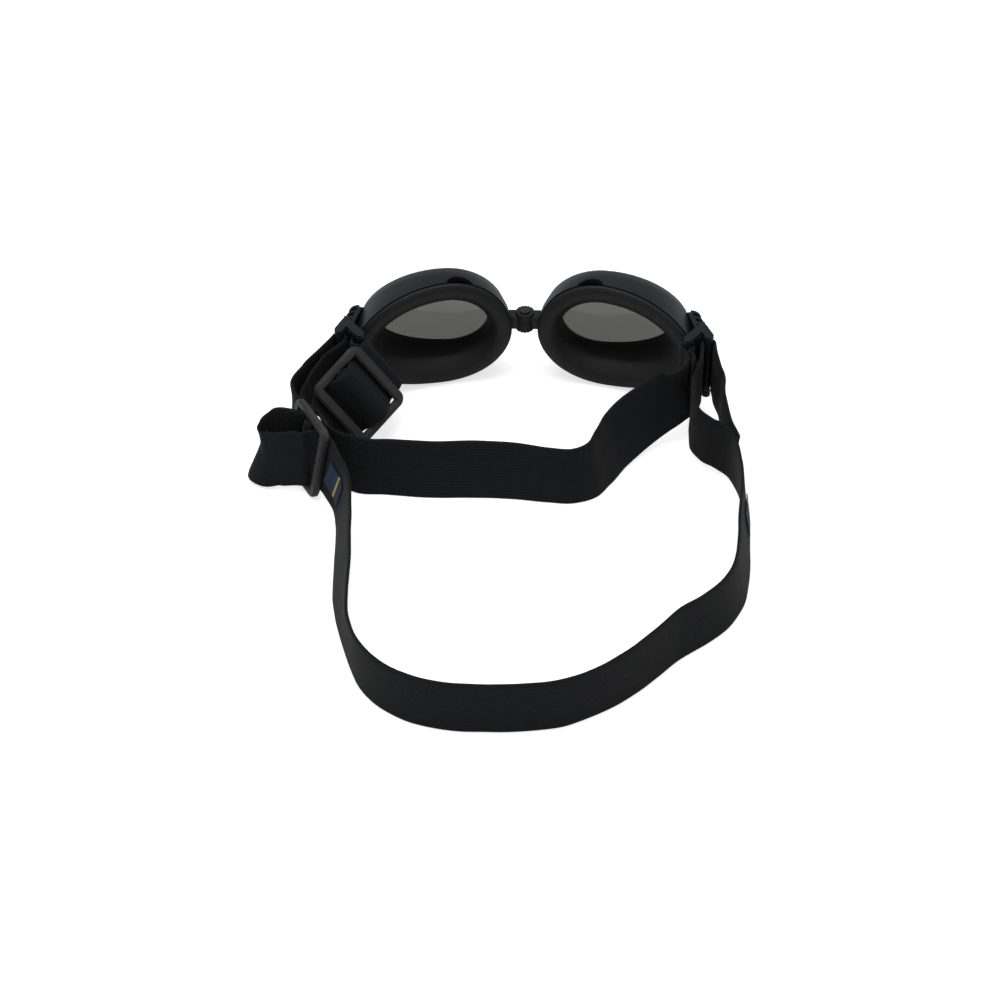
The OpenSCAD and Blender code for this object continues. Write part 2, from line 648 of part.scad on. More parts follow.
module left_frame() { color("#3a3f45") half(LEFT) frame(); }
module left_lens() { color("#5c5d58") half(LEFT) lens(); }
module left_lens_rim() { color("#50555b") half(LEFT) lens_rim(); }
module left_gasket() { color("#2a2b2d") half(LEFT) gasket(); }
module left_temple() { color("#3c4147") half(LEFT) temple(); }
module left_top_vent_foam() { color("#151617") half(LEFT) vent_plug(0); }
module left_side_vent_foam() { color("#151617") half(LEFT) side_plug(); }
module left_bridge_arm() { color("#2a2b2d") half(LEFT) bridge_arm(false); }
module bridge_pin() { color("#33363a") half(LEFT) pin(); }
module right_frame() { color("#3a3f45") half(RIGHT) frame(); }
module right_lens() { color("#5c5d58") half(RIGHT) lens(); }
module right_lens_rim() { color("#50555b") half(RIGHT) lens_rim(); }
module right_gasket() { color("#2a2b2d") half(RIGHT) gasket(); }
module right_temple() { color("#3c4147") half(RIGHT) temple(); }
module right_top_vent_foam() { color("#151617") half(RIGHT) vent_plug(0); }
module right_side_vent_foam() { color("#151617") half(RIGHT) side_plug(); }
module right_bridge_arm() { color("#2a2b2d") half(RIGHT) bridge_arm(true); }
module head_strap_buckle() { color("#37373a") buckle(head_buckle_at); }
module chin_strap_buckle() { color("#37373a") buckle(chin_buckle_at); }
module left_label() { label(LEFT, -13); }
module right_label() { label(RIGHT, -29); }

left_frame();
left_lens();
left_lens_rim();
left_gasket();
left_temple();
left_top_vent_foam();
left_side_vent_foam();
left_bridge_arm();
bridge_pin();
right_frame();
right_lens();
right_lens_rim();
right_gasket();
right_temple();
right_top_vent_foam();
right_side_vent_foam();
right_bridge_arm();
head_strap();
chin_strap();
head_strap_buckle();
chin_strap_buckle();
left_label();
right_label();
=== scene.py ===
"""Dog goggles with a head strap and a chin strap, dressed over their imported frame."""

import logging
import math
from dataclasses import dataclass
from enum import Enum
from typing import Sequence

import bpy
import numpy as np
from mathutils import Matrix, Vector


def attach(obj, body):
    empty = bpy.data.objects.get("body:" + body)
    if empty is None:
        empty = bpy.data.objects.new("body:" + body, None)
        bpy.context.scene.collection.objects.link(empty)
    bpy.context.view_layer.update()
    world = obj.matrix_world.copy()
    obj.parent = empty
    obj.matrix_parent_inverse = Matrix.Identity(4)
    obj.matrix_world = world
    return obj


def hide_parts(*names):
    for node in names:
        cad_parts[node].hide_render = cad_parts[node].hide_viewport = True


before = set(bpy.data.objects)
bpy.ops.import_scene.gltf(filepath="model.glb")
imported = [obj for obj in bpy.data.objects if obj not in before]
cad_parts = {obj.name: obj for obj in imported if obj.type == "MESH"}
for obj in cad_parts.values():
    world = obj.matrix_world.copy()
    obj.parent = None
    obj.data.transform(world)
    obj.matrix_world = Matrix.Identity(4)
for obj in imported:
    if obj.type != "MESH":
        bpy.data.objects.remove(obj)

log = logging.getLogger("goggles")
MM = 0.001
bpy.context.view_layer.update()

Color = tuple[float, float, float]
Row = tuple[float, float, float, float, float, float]

DUST: Color = (0.35, 0.34, 0.32)
# Millimetres that the straps stay above the floor.
FLOOR_ROOM = 0.02
# Millimetres that part the weave of a strap's two faces.
REAR_FACE_UV = 40.0


class Side(Enum):
    """Side of the object as it is seen from behind."""

    LEFT = -1
    RIGHT = 1


class Slot(Enum):
    """Material slots of the record."""

    FRAME = "frame_plastic"
    RIM = "rim_plastic"
    LENS = "lens_tint"
    SEAL = "seal_rubber"
    FOAM = "vent_foam"
    HINGE = "hinge_rubber"
    PIN = "hinge_pin"
    STRAP = "strap_webbing"
    BUCKLE = "buckle_plastic"
    LABEL = "label_fabric"


def link(tree: bpy.types.NodeTree, out: bpy.types.NodeSocket, to: bpy.types.NodeSocket) -> None:
    """Joins two sockets.

    Args:
        tree: Tree that holds both nodes.
        out: Output socket.
        to: Input socket.
    """
    tree.links.new(out, to)


def add(tree: bpy.types.NodeTree, kind: str, **values: object) -> bpy.types.Node:
    """Adds a node and sets its properties.

    Args:
        tree: Tree to add it to.
        kind: Blender's type name of the node.
        **values: Properties of the node by name.

    Returns:
        The new node.
    """
    node = tree.nodes.new(kind)
    for name, value in values.items():
        setattr(node, name, value)
    return node


def math_node(tree: bpy.types.NodeTree, operation: str, a: object, b: object = 0.0) -> bpy.types.NodeSocket:
    """Adds a math node.

    Args:
        tree: Tree to add it to.
        operation: The operation's name.
        a: First value or output socket.
        b: Second value or output socket.

    Returns:
        The node's output socket.
    """
    node = add(tree, "ShaderNodeMath", operation=operation)
    for socket, value in zip(node.inputs, (a, b)):
        if isinstance(value, bpy.types.NodeSocket):
            link(tree, value, socket)
        else:
            socket.default_value = float(value)
    return node.outputs[0]


def ramp(
    tree: bpy.types.NodeTree, value: bpy.types.NodeSocket, low: float, high: float
) -> bpy.types.NodeSocket:
    """Maps a value smoothly from low..high to 0..1.

    Args:
        tree: Tree to add it to.
        value: Socket to map.
        low: Value that gives 0.
        high: Value that gives 1.

    Returns:
        The mapped output socket.
    """
    node = add(tree, "ShaderNodeMapRange", interpolation_type="SMOOTHSTEP")
    link(tree, value, node.inputs["Value"])
    node.inputs["From Min"].default_value = low
    node.inputs["From Max"].default_value = high
    return node.outputs["Result"]


def humps(tree: bpy.types.NodeTree, value: bpy.types.NodeSocket) -> bpy.types.NodeSocket:
    """Turns a value into a row of round humps, one to each whole number.

    Args:
        tree: Tree to add it to.
        value: Socket that counts the humps.

    Returns:
        Output socket from 0 between two humps to 1 on top.
    """
    sine = math_node(tree, "SINE", math_node(tree, "MULTIPLY", value, math.pi))
    return math_node(tree, "ABSOLUTE", sine)


def new_group(
    name: str, inputs: Sequence[tuple[str, str, object]], outputs: Sequence[tuple[str, str]]
) -> tuple[bpy.types.NodeTree, bpy.types.Node, bpy.types.Node]:
    """Starts a shader node group.

    Args:
        name: Name of the group.
        inputs: Name, socket type and default value of each input.
        outputs: Name and socket type of each output.

    Returns:
        The group with its input and output nodes.
    """
    group = bpy.data.node_groups.new(name, "ShaderNodeTree")
    for title, kind, value in inputs:
        socket = group.interface.new_socket(title, in_out="INPUT", socket_type=kind)
        if value is not None:
            socket.default_value = value
    for title, kind in outputs:
        group.interface.new_socket(title, in_out="OUTPUT", socket_type=kind)
    return group, add(group, "NodeGroupInput"), add(group, "NodeGroupOutput")


def grain_group() -> bpy.types.NodeTree:
    """Builds the group for moulded grain: fine bumps, slow tone changes and handling dust.

    Returns:
        Group with the outputs Height, Tone and Dust.
    """
    group, inp, out = new_group(
        "Moulded grain",
        [("Grain size", "NodeSocketFloat", 2200.0), ("Dust size", "NodeSocketFloat", 900.0)],
        [("Height", "NodeSocketFloat"), ("Tone", "NodeSocketFloat"), ("Dust", "NodeSocketFloat")],
    )
    place = add(group, "ShaderNodeTexCoord")
    fine = add(group, "ShaderNodeTexNoise")
    fine.inputs["Detail"].default_value = 3.0
    link(group, place.outputs["Object"], fine.inputs["Vector"])
    link(group, inp.outputs["Grain size"], fine.inputs["Scale"])
    slow = add(group, "ShaderNodeTexNoise")
    slow.inputs["Scale"].default_value = 45.0
    slow.inputs["Detail"].default_value = 4.0
    link(group, place.outputs["Object"], slow.inputs["Vector"])
    cells = add(group, "ShaderNodeTexVoronoi")
    link(group, place.outputs["Object"], cells.inputs["Vector"])
    link(group, inp.outputs["Dust size"], cells.inputs["Scale"])
    chosen = ramp(group, slow.outputs["Fac"], 0.56, 0.72)
    speck = ramp(group, cells.outputs["Distance"], 0.16, 0.06)
    link(group, fine.outputs["Fac"], out.inputs["Height"])
    link(group, slow.outputs["Fac"], out.inputs["Tone"])
    link(group, math_node(group, "MULTIPLY", chosen, speck), out.inputs["Dust"])
    return group


def webbing_group() -> bpy.types.NodeTree:
    """Builds the group for woven elastic: cords along the strap crossed by fine picks.

    Returns:
        Group with the outputs Height, Shade and Fuzz; Shade is painted shade, darker between the threads,
        mixed with random fibre tone. Its UV input counts millimetres.
    """
    group, inp, out = new_group(
        "Woven elastic",
        [("Cord pitch", "NodeSocketFloat", 1.25), ("Pick pitch", "NodeSocketFloat", 0.85)],
        [("Height", "NodeSocketFloat"), ("Shade", "NodeSocketFloat"), ("Fuzz", "NodeSocketFloat")],
    )
    uv = add(group, "ShaderNodeUVMap", uv_map="mm")
    parts = add(group, "ShaderNodeSeparateXYZ")
    link(group, uv.outputs["UV"], parts.inputs["Vector"])
    wander = add(group, "ShaderNodeTexNoise")
    wander.inputs["Scale"].default_value = 0.35
    link(group, uv.outputs["UV"], wander.inputs["Vector"])
    drift = math_node(group, "MULTIPLY", wander.outputs["Fac"], 0.5)
    along = math_node(group, "ADD", parts.outputs["X"], drift)
    pick = math_node(group, "DIVIDE", along, inp.outputs["Pick pitch"])
    cord = math_node(group, "DIVIDE", parts.outputs["Y"], inp.outputs["Cord pitch"])
    half = math_node(group, "MULTIPLY", math_node(group, "FLOOR", cord), 0.5)
    pick_humps = humps(group, math_node(group, "ADD", pick, half))
    cord_humps = humps(group, cord)
    hair = add(group, "ShaderNodeTexNoise")
    hair.inputs["Scale"].default_value = 3.2
    hair.inputs["Detail"].default_value = 5.0
    link(group, uv.outputs["UV"], hair.inputs["Vector"])
    cord_share = math_node(group, "ADD", math_node(group, "MULTIPLY", cord_humps, 0.7), 0.3)
    height = math_node(group, "MULTIPLY", pick_humps, cord_share)
    link(group, height, out.inputs["Height"])
    # Painted shade: dark where the weave is low between the threads, times random fibre tone.
    link(group, math_node(group, "MULTIPLY", height, hair.outputs["Fac"]), out.inputs["Shade"])
    link(group, ramp(group, hair.outputs["Fac"], 0.62, 0.78), out.inputs["Fuzz"])
    return group


@dataclass(frozen=True)
class Shades:
    """Shared node groups.

    Args:
        grain: Moulded grain.
        weave: Woven elastic.
    """

    grain: bpy.types.NodeTree
    weave: bpy.types.NodeTree


def start_material(name: str) -> tuple[bpy.types.Material, bpy.types.NodeTree, bpy.types.Node]:
    """Makes a material with one Principled shader.

    Args:
        name: Name of the material.

    Returns:
        The material, its tree and the shader.
    """
    material = bpy.data.materials.new(name)
    material.use_nodes = True
    tree = material.node_tree
    return material, tree, next(n for n in tree.nodes if n.type == "BSDF_PRINCIPLED")


def blend_color(
    tree: bpy.types.NodeTree, share: bpy.types.NodeSocket, low: Color | bpy.types.NodeSocket, high: Color
) -> bpy.types.NodeSocket:
    """Mixes two colours.

    Args:
        tree: Tree to add the mix to.
        share: Share of the second colour.
        low: First colour, or the socket that gives it.
        high: Second colour.

    Returns:
        The mixed colour's socket.
    """
    mix = add(tree, "ShaderNodeMix", data_type="RGBA")
    link(tree, share, mix.inputs["Factor"])
    if isinstance(low, bpy.types.NodeSocket):
        link(tree, low, mix.inputs["A"])
    else:
        mix.inputs["A"].default_value = (*low, 1.0)
    mix.inputs["B"].default_value = (*high, 1.0)
    return mix.outputs["Result"]


def add_relief(
    tree: bpy.types.NodeTree,
    bsdf: bpy.types.Node,
    height: bpy.types.NodeSocket,
    depth: float,
    strength: float = 1.0,
) -> bpy.types.Node:
    """Gives a shader a fine relief.

    Args:
        tree: Tree of the material.
        bsdf: Shader that gets it.
        height: Socket that gives the height, from 0 to 1.
        depth: Height of the relief in millimetres.
        strength: Strength of the relief.

    Returns:
        The bump node.
    """
    bump = add(tree, "ShaderNodeBump")
    bump.inputs["Strength"].default_value = strength
    bump.inputs["Distance"].default_value = depth * MM
    link(tree, height, bump.inputs["Height"])
    link(tree, bump.outputs["Normal"], bsdf.inputs["Normal"])
    return bump


@dataclass(frozen=True)
class MouldedPlastic:
    """Moulded plastic with a fine grain, softened edges and a little dust.

    Args:
        name: Name of the material.
        dark: Colour at the dark end of the slow random tone changes.
        light: Colour at the light end of the slow random tone changes.
        rough: Roughness of the clean surface.
        coat: Strength of the clear sheen.
        depth: Height of the grain in millimetres.
        edge: Radius that the shading gives to edges, in millimetres.
        dusty: Strength of the dust.
        shine: Strength of the plain reflection.
    """

    name: str
    dark: Color
    light: Color
    rough: float = 0.42
    coat: float = 0.1
    depth: float = 0.03
    edge: float = 0.35
    dusty: float = 0.5
    shine: float = 0.5

    def build(self, shades: Shades) -> bpy.types.Material:
        """Builds the material.

        Args:
            shades: Shared node groups.

        Returns:
            The material.
        """
        material, tree, bsdf = start_material(self.name)
        grain = add(tree, "ShaderNodeGroup", node_tree=shades.grain)
        tone = blend_color(tree, ramp(tree, grain.outputs["Tone"], 0.3, 0.7), self.dark, self.light)
        dust = math_node(tree, "MULTIPLY", grain.outputs["Dust"], self.dusty)
        link(tree, blend_color(tree, dust, tone, DUST), bsdf.inputs["Base Color"])
        spread = math_node(tree, "MULTIPLY", grain.outputs["Tone"], 0.12)
        link(tree, math_node(tree, "ADD", spread, self.rough - 0.06), bsdf.inputs["Roughness"])
        bsdf.inputs["Specular IOR Level"].default_value = self.shine
        bsdf.inputs["Coat Weight"].default_value = self.coat
        bsdf.inputs["Coat Roughness"].default_value = 0.25
        edge = add(tree, "ShaderNodeBevel", samples=6)
        edge.inputs["Radius"].default_value = self.edge * MM
        relief = add_relief(tree, bsdf, grain.outputs["Height"], self.depth, 0.5)
        link(tree, edge.outputs["Normal"], relief.inputs["Normal"])
        return material


@dataclass(frozen=True)
class SmokeLens:
    """Tinted clear plastic with faint smears.

    Args:
        name: Name of the material.
        tint: Colour that one surface lets through.
    """

    name: str
    tint: Color

    def build(self, shades: Shades) -> bpy.types.Material:
        """Builds the material.

        Args:
            shades: Shared node groups.

        Returns:
            The material.
        """
        material, tree, bsdf = start_material(self.name)
        grain = add(tree, "ShaderNodeGroup", node_tree=shades.grain)
        bsdf.inputs["Base Color"].default_value = (*self.tint, 1.0)
        bsdf.inputs["Transmission Weight"].default_value = 1.0
        bsdf.inputs["IOR"].default_value = 1.49
        smears = ramp(tree, grain.outputs["Tone"], 0.45, 0.8)
        link(tree, math_node(tree, "MULTIPLY", smears, 0.22), bsdf.inputs["Roughness"])
        return material


@dataclass(frozen=True)
class Webbing:
    """Woven elastic.

    Args:
        name: Name of the material.
        dark: Colour between the threads, painted shade.
        light: Colour on top of the threads, the elastic's own colour.
        fuzz: Colour of loose fibres.
        depth: Height of the weave in millimetres.
    """

    name: str
    dark: Color
    light: Color
    fuzz: Color
    depth: float = 0.14

    def build(self, shades: Shades) -> bpy.types.Material:
        """Builds the material.

        Args:
            shades: Shared node groups.

        Returns:
            The material.
        """
        material, tree, bsdf = start_material(self.name)
        weave = add(tree, "ShaderNodeGroup", node_tree=shades.weave)
        # Painted shade: the dark colour goes between the threads, where the weave is low.
        base = blend_color(tree, ramp(tree, weave.outputs["Shade"], 0.05, 0.5), self.dark, self.light)
        loose = math_node(tree, "MULTIPLY", weave.outputs["Fuzz"], 0.35)
        link(tree, blend_color(tree, loose, base, self.fuzz), bsdf.inputs["Base Color"])
        bsdf.inputs["Roughness"].default_value = 0.82
        bsdf.inputs["Specular IOR Level"].default_value = 0.18
        bsdf.inputs["Sheen Weight"].default_value = 0.05
        bsdf.inputs["Sheen Roughness"].default_value = 0.4
        add_relief(tree, bsdf, weave.outputs["Height"], self.depth, 0.7)
        return material


@dataclass(frozen=True)
class StripedLabel:
    """Woven label with plain stripes.

    Args:
        name: Name of the material.
        ground: Colour of the label.
        stripe: Colour of the wide stripe.
        thread: Colour of the narrow stripe.
        at: Place of the wide stripe's middle along the label, in millimetres.
        apart: Distance from it to the narrow stripes, in millimetres.
    """

    name: str
    ground: Color
    stripe: Color
    thread: Color
    at: float = 8.5
    apart: float = 1.7

    def build(self, shades: Shades) -> bpy.types.Material:
        """Builds the material.

        Args:
            shades: Shared node groups.

        Returns:
            The material.
        """
        material, tree, bsdf = start_material(self.name)
        uv = add(tree, "ShaderNodeUVMap", uv_map="mm")
        parts = add(tree, "ShaderNodeSeparateXYZ")
        link(tree, uv.outputs["UV"], parts.inputs["Vector"])
        off = math_node(tree, "ABSOLUTE", math_node(tree, "SUBTRACT", parts.outputs["X"], self.at))
        color = blend_color(tree, ramp(tree, off, 0.75, 0.5), self.ground, self.stripe)
        far = math_node(tree, "ABSOLUTE", math_node(tree, "SUBTRACT", off, self.apart))
        color = blend_color(tree, ramp(tree, far, 0.4, 0.25), color, self.thread)
        link(tree, color, bsdf.inputs["Base Color"])
        bsdf.inputs["Roughness"].default_value = 0.75
        weave = add(tree, "ShaderNodeGroup", node_tree=shades.weave)
        weave.inputs["Cord pitch"].default_value = 0.45
        weave.inputs["Pick pitch"].default_value = 0.35
        add_relief(tree, bsdf, weave.outputs["Height"], 0.06)
        return material


@dataclass(frozen=True)
class Foam:
    """Open-cell foam, with painted shade darkening the middle of each cell.

    Args:
        name: Name of the material.
        color: Colour of the cell walls.
    """

    name: str
    color: Color

    def build(self) -> bpy.types.Material:
        """Builds the material.

        Returns:
            The material.
        """
        material, tree, bsdf = start_material(self.name)
        place = add(tree, "ShaderNodeTexCoord")
        cells = add(tree, "ShaderNodeTexVoronoi")
        cells.inputs["Scale"].default_value = 1600.0
        link(tree, place.outputs["Object"], cells.inputs["Vector"])
        # Painted shade: the middle of each cell, where the relief is low, is darkened to a third of the
        # colour.
        dark = tuple(c * 0.3 for c in self.color)
        link(tree, blend_color(tree, cells.outputs["Distance"], dark, self.color), bsdf.inputs["Base Color"])
        bsdf.inputs["Roughness"].default_value = 0.95
        add_relief(tree, bsdf, cells.outputs["Distance"], 0.4)
        return material


@dataclass(frozen=True)
class Finishes:
    """All materials of the goggles.

    Args:
        cup: Blue-black moulding of cups and temples.
        ring: Glossy ring round the lens.
        lens: Smoke lens.
        seal: Soft face seal.
        foam: Vent foam.
        hinge: Ribbed nose hinge.
        pin: Hinge pin.
        strap: Woven elastic.
        thread: Sewing thread.
        buckle: Charcoal buckle plastic.
        label: Blue label with plain stripes.
    """

    cup: bpy.types.Material
    ring: bpy.types.Material
    lens: bpy.types.Material
    seal: bpy.types.Material
    foam: bpy.types.Material
    hinge: bpy.types.Material
    pin: bpy.types.Material
    strap: bpy.types.Material
    thread: bpy.types.Material
    buckle: bpy.types.Material
    label: bpy.types.Material


def build_finishes() -> Finishes:
    """Builds every material once.

    Returns:
        The materials.
    """
    shades = Shades(grain_group(), webbing_group())
    cup = MouldedPlastic(
        "Cup plastic",
        dark=(0.0085, 0.0105, 0.0135),
        light=(0.014, 0.017, 0.0215),
        rough=0.44,
        coat=0.0,
        depth=0.025,
        dusty=0.6,
        shine=0.22,
    )
    ring = MouldedPlastic(
        "Lens ring",
        dark=(0.045, 0.05, 0.056),
        light=(0.06, 0.066, 0.073),
        rough=0.24,
        coat=0.35,
        depth=0.01,
        dusty=0.2,
    )
    seal = MouldedPlastic(
        "Soft seal",
        dark=(0.005, 0.0053, 0.0057),
        light=(0.009, 0.0094, 0.01),
        rough=0.58,
        coat=0.0,
        depth=0.04,
        edge=0.2,
        dusty=0.3,
        shine=0.4,
    )
    hinge = MouldedPlastic(
        "Nose hinge",
        dark=(0.007, 0.0075, 0.008),
        light=(0.012, 0.0125, 0.013),
        rough=0.5,
        coat=0.0,
        depth=0.03,
        edge=0.2,
        dusty=0.3,
        shine=0.4,
    )
    pin = MouldedPlastic(
        "Hinge pin",
        dark=(0.014, 0.015, 0.016),
        light=(0.02, 0.021, 0.023),
        rough=0.38,
        depth=0.01,
        edge=0.15,
        dusty=0.2,
    )
    thread = MouldedPlastic(
        "Thread",
        dark=(0.012, 0.012, 0.013),
        light=(0.02, 0.02, 0.021),
        rough=0.6,
        coat=0.0,
        depth=0.05,
        edge=0.05,
        dusty=0.0,
    )
    buckle = MouldedPlastic(
        "Buckle",
        dark=(0.024, 0.024, 0.026),
        light=(0.037, 0.037, 0.039),
        rough=0.47,
        coat=0.05,
        depth=0.05,
        edge=0.45,
        dusty=0.35,
    )
    # The dark colour is painted shade between the threads.
    elastic = Webbing(
        "Elastic",
        dark=(0.005, 0.0056, 0.0066),
        light=(0.0155, 0.0165, 0.0185),
        fuzz=(0.05, 0.05, 0.05),
    )
    label = StripedLabel(
        "Label",
        ground=(0.004, 0.017, 0.052),
        stripe=(0.42, 0.4, 0.08),
        thread=(0.03, 0.022, 0.1),
    )
    return Finishes(
        cup=cup.build(shades),
        ring=ring.build(shades),
        lens=SmokeLens("Smoke lens", tint=(0.088, 0.088, 0.083)).build(shades),
        seal=seal.build(shades),
        foam=Foam("Vent foam", color=(0.012, 0.012, 0.012)).build(),
        hinge=hinge.build(shades),
        pin=pin.build(shades),
        strap=elastic.build(shades),
        thread=thread.build(shades),
        buckle=buckle.build(shades),
        label=label.build(shades),
    )


def faced_out(points: np.ndarray, faces: Sequence[Sequence[int]]) -> list[Sequence[int]]:
    """Turns the faces of a closed mesh outwards, by the sign of its volume.

    Args:
        points: Vertices, n by 3.
        faces: Vertex numbers of each face.

    Returns:
        The faces, all reversed where they looked inwards.
    """
    corners = np.asarray(points)[[(f[0], b, c) for f in faces for b, c in zip(f[1:-1], f[2:])]]
    volume = float(np.einsum("ij,ij->", corners[:, 0], np.cross(corners[:, 1], corners[:, 2])))
    return [f[::-1] for f in faces] if len(faces) > 1 and volume < 0 else list(faces)


def mesh_object(
    name: str,
    points: np.ndarray,
    faces: Sequence[Sequence[int]],
    material: bpy.types.Material,
    uv: np.ndarray | None = None,
) -> bpy.types.Object:
    """Makes a smooth mesh piece from points in metres.

    Args:
        name: Name of the piece.
        points: Vertex places in the row frame.
        faces: Vertex numbers of each face.
        material: Material of the piece.
        uv: Place of each vertex in the flat piece, in millimetres.

    Returns:
        The object, in the scene.
    """
    mesh = bpy.data.meshes.new(name)
    mesh.from_pydata([tuple(map(float, p)) for p in points], [], [list(f) for f in faced_out(points, faces)])
    mesh.validate()
    if uv is not None:
        layer = mesh.uv_layers.new(name="mm")
        index = np.zeros(len(mesh.loops), np.int32)
        mesh.loops.foreach_get("vertex_index", index)
        layer.data.foreach_set("uv", uv[index].astype(np.float32).ravel())
    mesh.polygons.foreach_set("use_smooth", [True] * len(mesh.polygons))
    mesh.materials.append(material)
    mesh.update()
    obj = bpy.data.objects.new(name, mesh)
    bpy.context.scene.collection.objects.link(obj)
    return obj


def ring_faces(rings: int, size: int, closed: bool) -> list[tuple[int, int, int, int]]:
    """Quads between rings of points.

    Args:
        rings: Number of rings.
        size: Points in each ring.
        closed: Whether the last ring joins the first.

    Returns:
        The faces.
    """
    quads = []
    for i in range(rings if closed else rings - 1):
        near, far = i * size, (i + 1) % rings * size
        quads += [(near + j, far + j, far + (j + 1) % size, near + (j + 1) % size) for j in range(size)]
    return quads


def unit(v: np.ndarray) -> np.ndarray:
    """Scales a vector to length one.

    Args:
        v: Any vector.

    Returns:
        Vector of length one.
    """
    return v / np.linalg.norm(v)


def round_profile(points: np.ndarray, steps: int) -> np.ndarray:
    """Smooths a closed profile through its points.

    Args:
        points: Corner values, one row each.
        steps: Steps between two corners.

    Returns:
        The smoothed profile.
    """
    n = len(points)
    made = []
    for i in range(n):
        a, b, c, d = (points[(i + k) % n] for k in (-1, 0, 1, 2))
        for k in range(steps):
            t = k / steps
            square = 2 * a - 5 * b + 4 * c - d
            cube = 3 * b - a - 3 * c + d
            made.append(0.5 * (2 * b + (c - a) * t + square * t * t + cube * t**3))
    return np.array(made)


def dress(node: str, material: bpy.types.Material, angle: float = 32.0) -> None:
    """Gives a solid of the frame its finish and smooth shading.

    Args:
        node: Name of the frame's node.
        material: Material it gets.
        angle: Edges sharper than this many degrees stay sharp.
    """
    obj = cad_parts[node]
    mesh = obj.data
    mesh.materials.clear()
    mesh.materials.append(material)
    if "custom_normal" in mesh.attributes:
        mesh.attributes.remove(mesh.attributes["custom_normal"])
    mesh.polygons.foreach_set("use_smooth", [True] * len(mesh.polygons))
    weld = obj.modifiers.new("Join", "WELD")
    weld.merge_threshold = 0.01 * MM
    split = obj.modifiers.new("Edges", "EDGE_SPLIT")
    split.split_angle = math.radians(angle)
    log.info("dressed %s", node)


def mount(obj: bpy.types.Object, body: str) -> None:
    """Lets a new piece ride on a body and logs it.

    Args:
        obj: The piece.
        body: Name of the body.
    """
    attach(obj, body)
    log.info("built %s", obj.name)


@dataclass(frozen=True)
class CupShape:
    """Sizes of one eye cup in millimetres, as the frame has them.

    Args:
        shift: Move that puts the goggles' middle over the origin.
        hinge: Place of the nose pin before that move.
        gap: Distance from the nose pin to the cup.
        width: Width of the cup.
        height: Height of the cup.
        belly: Share of the width at which the cup is tallest.
        depth: Depth of the cup at its lens.
        slope: Lean of the lens, in depth for each height.
        rim_bend: Radius of the face rim.
        rim_flat: Width of the rim's flat nose end.
        lens_bend: Radius of the lens.
        lens_crown: Distance from the cup's nose end to the lens's foremost place.
        taper: Distance that the wall narrows by.
        wall: Thickness of the wall.
        lift: Height of the cup above the floor.
        hinge_y: Distance forwards from the rim's nose edge to the nose pin.
        fold: Angle between the halves at rest, in degrees.
        lip: Width of the seal's rolled edge.
        proud: Height of the seal over the rim.
        seat_back: Distance back from the front of the cup to the lens seat.
        notch_s: Distance from the nose pin to the arched vent notch.
        plug_r: Radius of the foam plug.
        disc_r: Radius of the foam disc.
        temple_turn: Angle of the temple in degrees.
        temple_in: Distance from the cup's outer end to the temple's root.
        temple_y: Depth of the temple's root.
    """

    shift: tuple[float, float] = (1.25, 16.68)
    hinge: tuple[float, float] = (10.4, 83.0)
    gap: float = 5.4
    width: float = 65.6
    height: float = 52.0
    belly: float = 0.42
    depth: float = 15.0
    slope: float = 0.12
    rim_bend: float = 112.0
    rim_flat: float = 2.6
    lens_bend: float = 175.0
    lens_crown: float = 16.6
    taper: float = 2.8
    wall: float = 2.0
    lift: float = 0.5
    hinge_y: float = 6.0
    fold: float = 3.0
    lip: float = 10.0
    proud: float = 2.2
    seat_back: float = 5.2
    notch_s: float = 26.7
    plug_r: float = 2.6
    disc_r: float = 5.0
    temple_turn: float = 16.0
    temple_in: float = 2.4
    temple_y: float = -4.0

    @property
    def mid_z(self) -> float:
        """Height of the cup's middle.

        Returns:
            Height in millimetres.
        """
        return self.lift + self.height / 2

    @property
    def belly_s(self) -> float:
        """Place of the cup's tallest section.

        Returns:
            Distance from the hinge in millimetres.
        """
        return self.gap + self.width * self.belly

    def outline(self, a: float, inset: float) -> np.ndarray:
        """Point of the cup's outline.

        Args:
            a: Angle round the cup in radians.
            inset: Distance inwards, square to the outline.

        Returns:
            Distance from the hinge and height.
        """
        rx = self.width * (self.belly if math.cos(a) < 0 else 1 - self.belly)
        rz = self.height / 2
        c, s = math.cos(a), math.sin(a)
        edge = np.array([self.belly_s + rx * c, self.mid_z + rz * s])
        return edge - inset * unit(np.array([c / rx, s / rz]))

    def rim_y(self, s: float) -> float:
        """Depth of the face rim.

        Args:
            s: Distance from the hinge.

        Returns:
            Depth in millimetres.
        """
        return -max(s - self.gap - self.rim_flat, 0.0) ** 2 / (2 * self.rim_bend)

    def front_y(self, s: float, z: float) -> float:
        """Depth of the lens side.

        Args:
            s: Distance from the hinge.
            z: Height.

        Returns:
            Depth in millimetres.
        """
        bend = (s - self.gap - self.lens_crown) ** 2 / (2 * self.lens_bend)
        return self.depth - bend + (self.mid_z - z) * self.slope

    def place(self, side: Side, s: float, y: float, z: float) -> np.ndarray:
        """Turns a point of one half into the row frame.

        Args:
            side: Which half.
            s: Distance from the hinge.
            y: Depth from the rim's nose edge.
            z: Height.

        Returns:
            Point in metres.
        """
        a = math.radians(-self.fold if side is Side.RIGHT else 0.0)
        u, v = s, y - self.hinge_y
        u, v = u * math.cos(a) - v * math.sin(a), u * math.sin(a) + v * math.cos(a)
        across = self.shift[0] + self.hinge[0] + side.value * u
        ahead = self.shift[1] + self.hinge[1] + v
        return np.array([across, ahead, z]) * MM

    def temple(self, side: Side, u: float, n: float) -> np.ndarray:
        """Point beside the temple.

        Args:
            side: Which half.
            u: Distance back along the temple.
            n: Distance outwards.

        Returns:
            Point in millimetres, at the middle height.
        """
        t = math.radians(self.temple_turn)
        s = self.gap + self.width - self.temple_in + u * math.sin(t) + n * math.cos(t)
        y = self.temple_y - u * math.cos(t) + n * math.sin(t)
        return self.place(side, s, y, self.mid_z) / MM


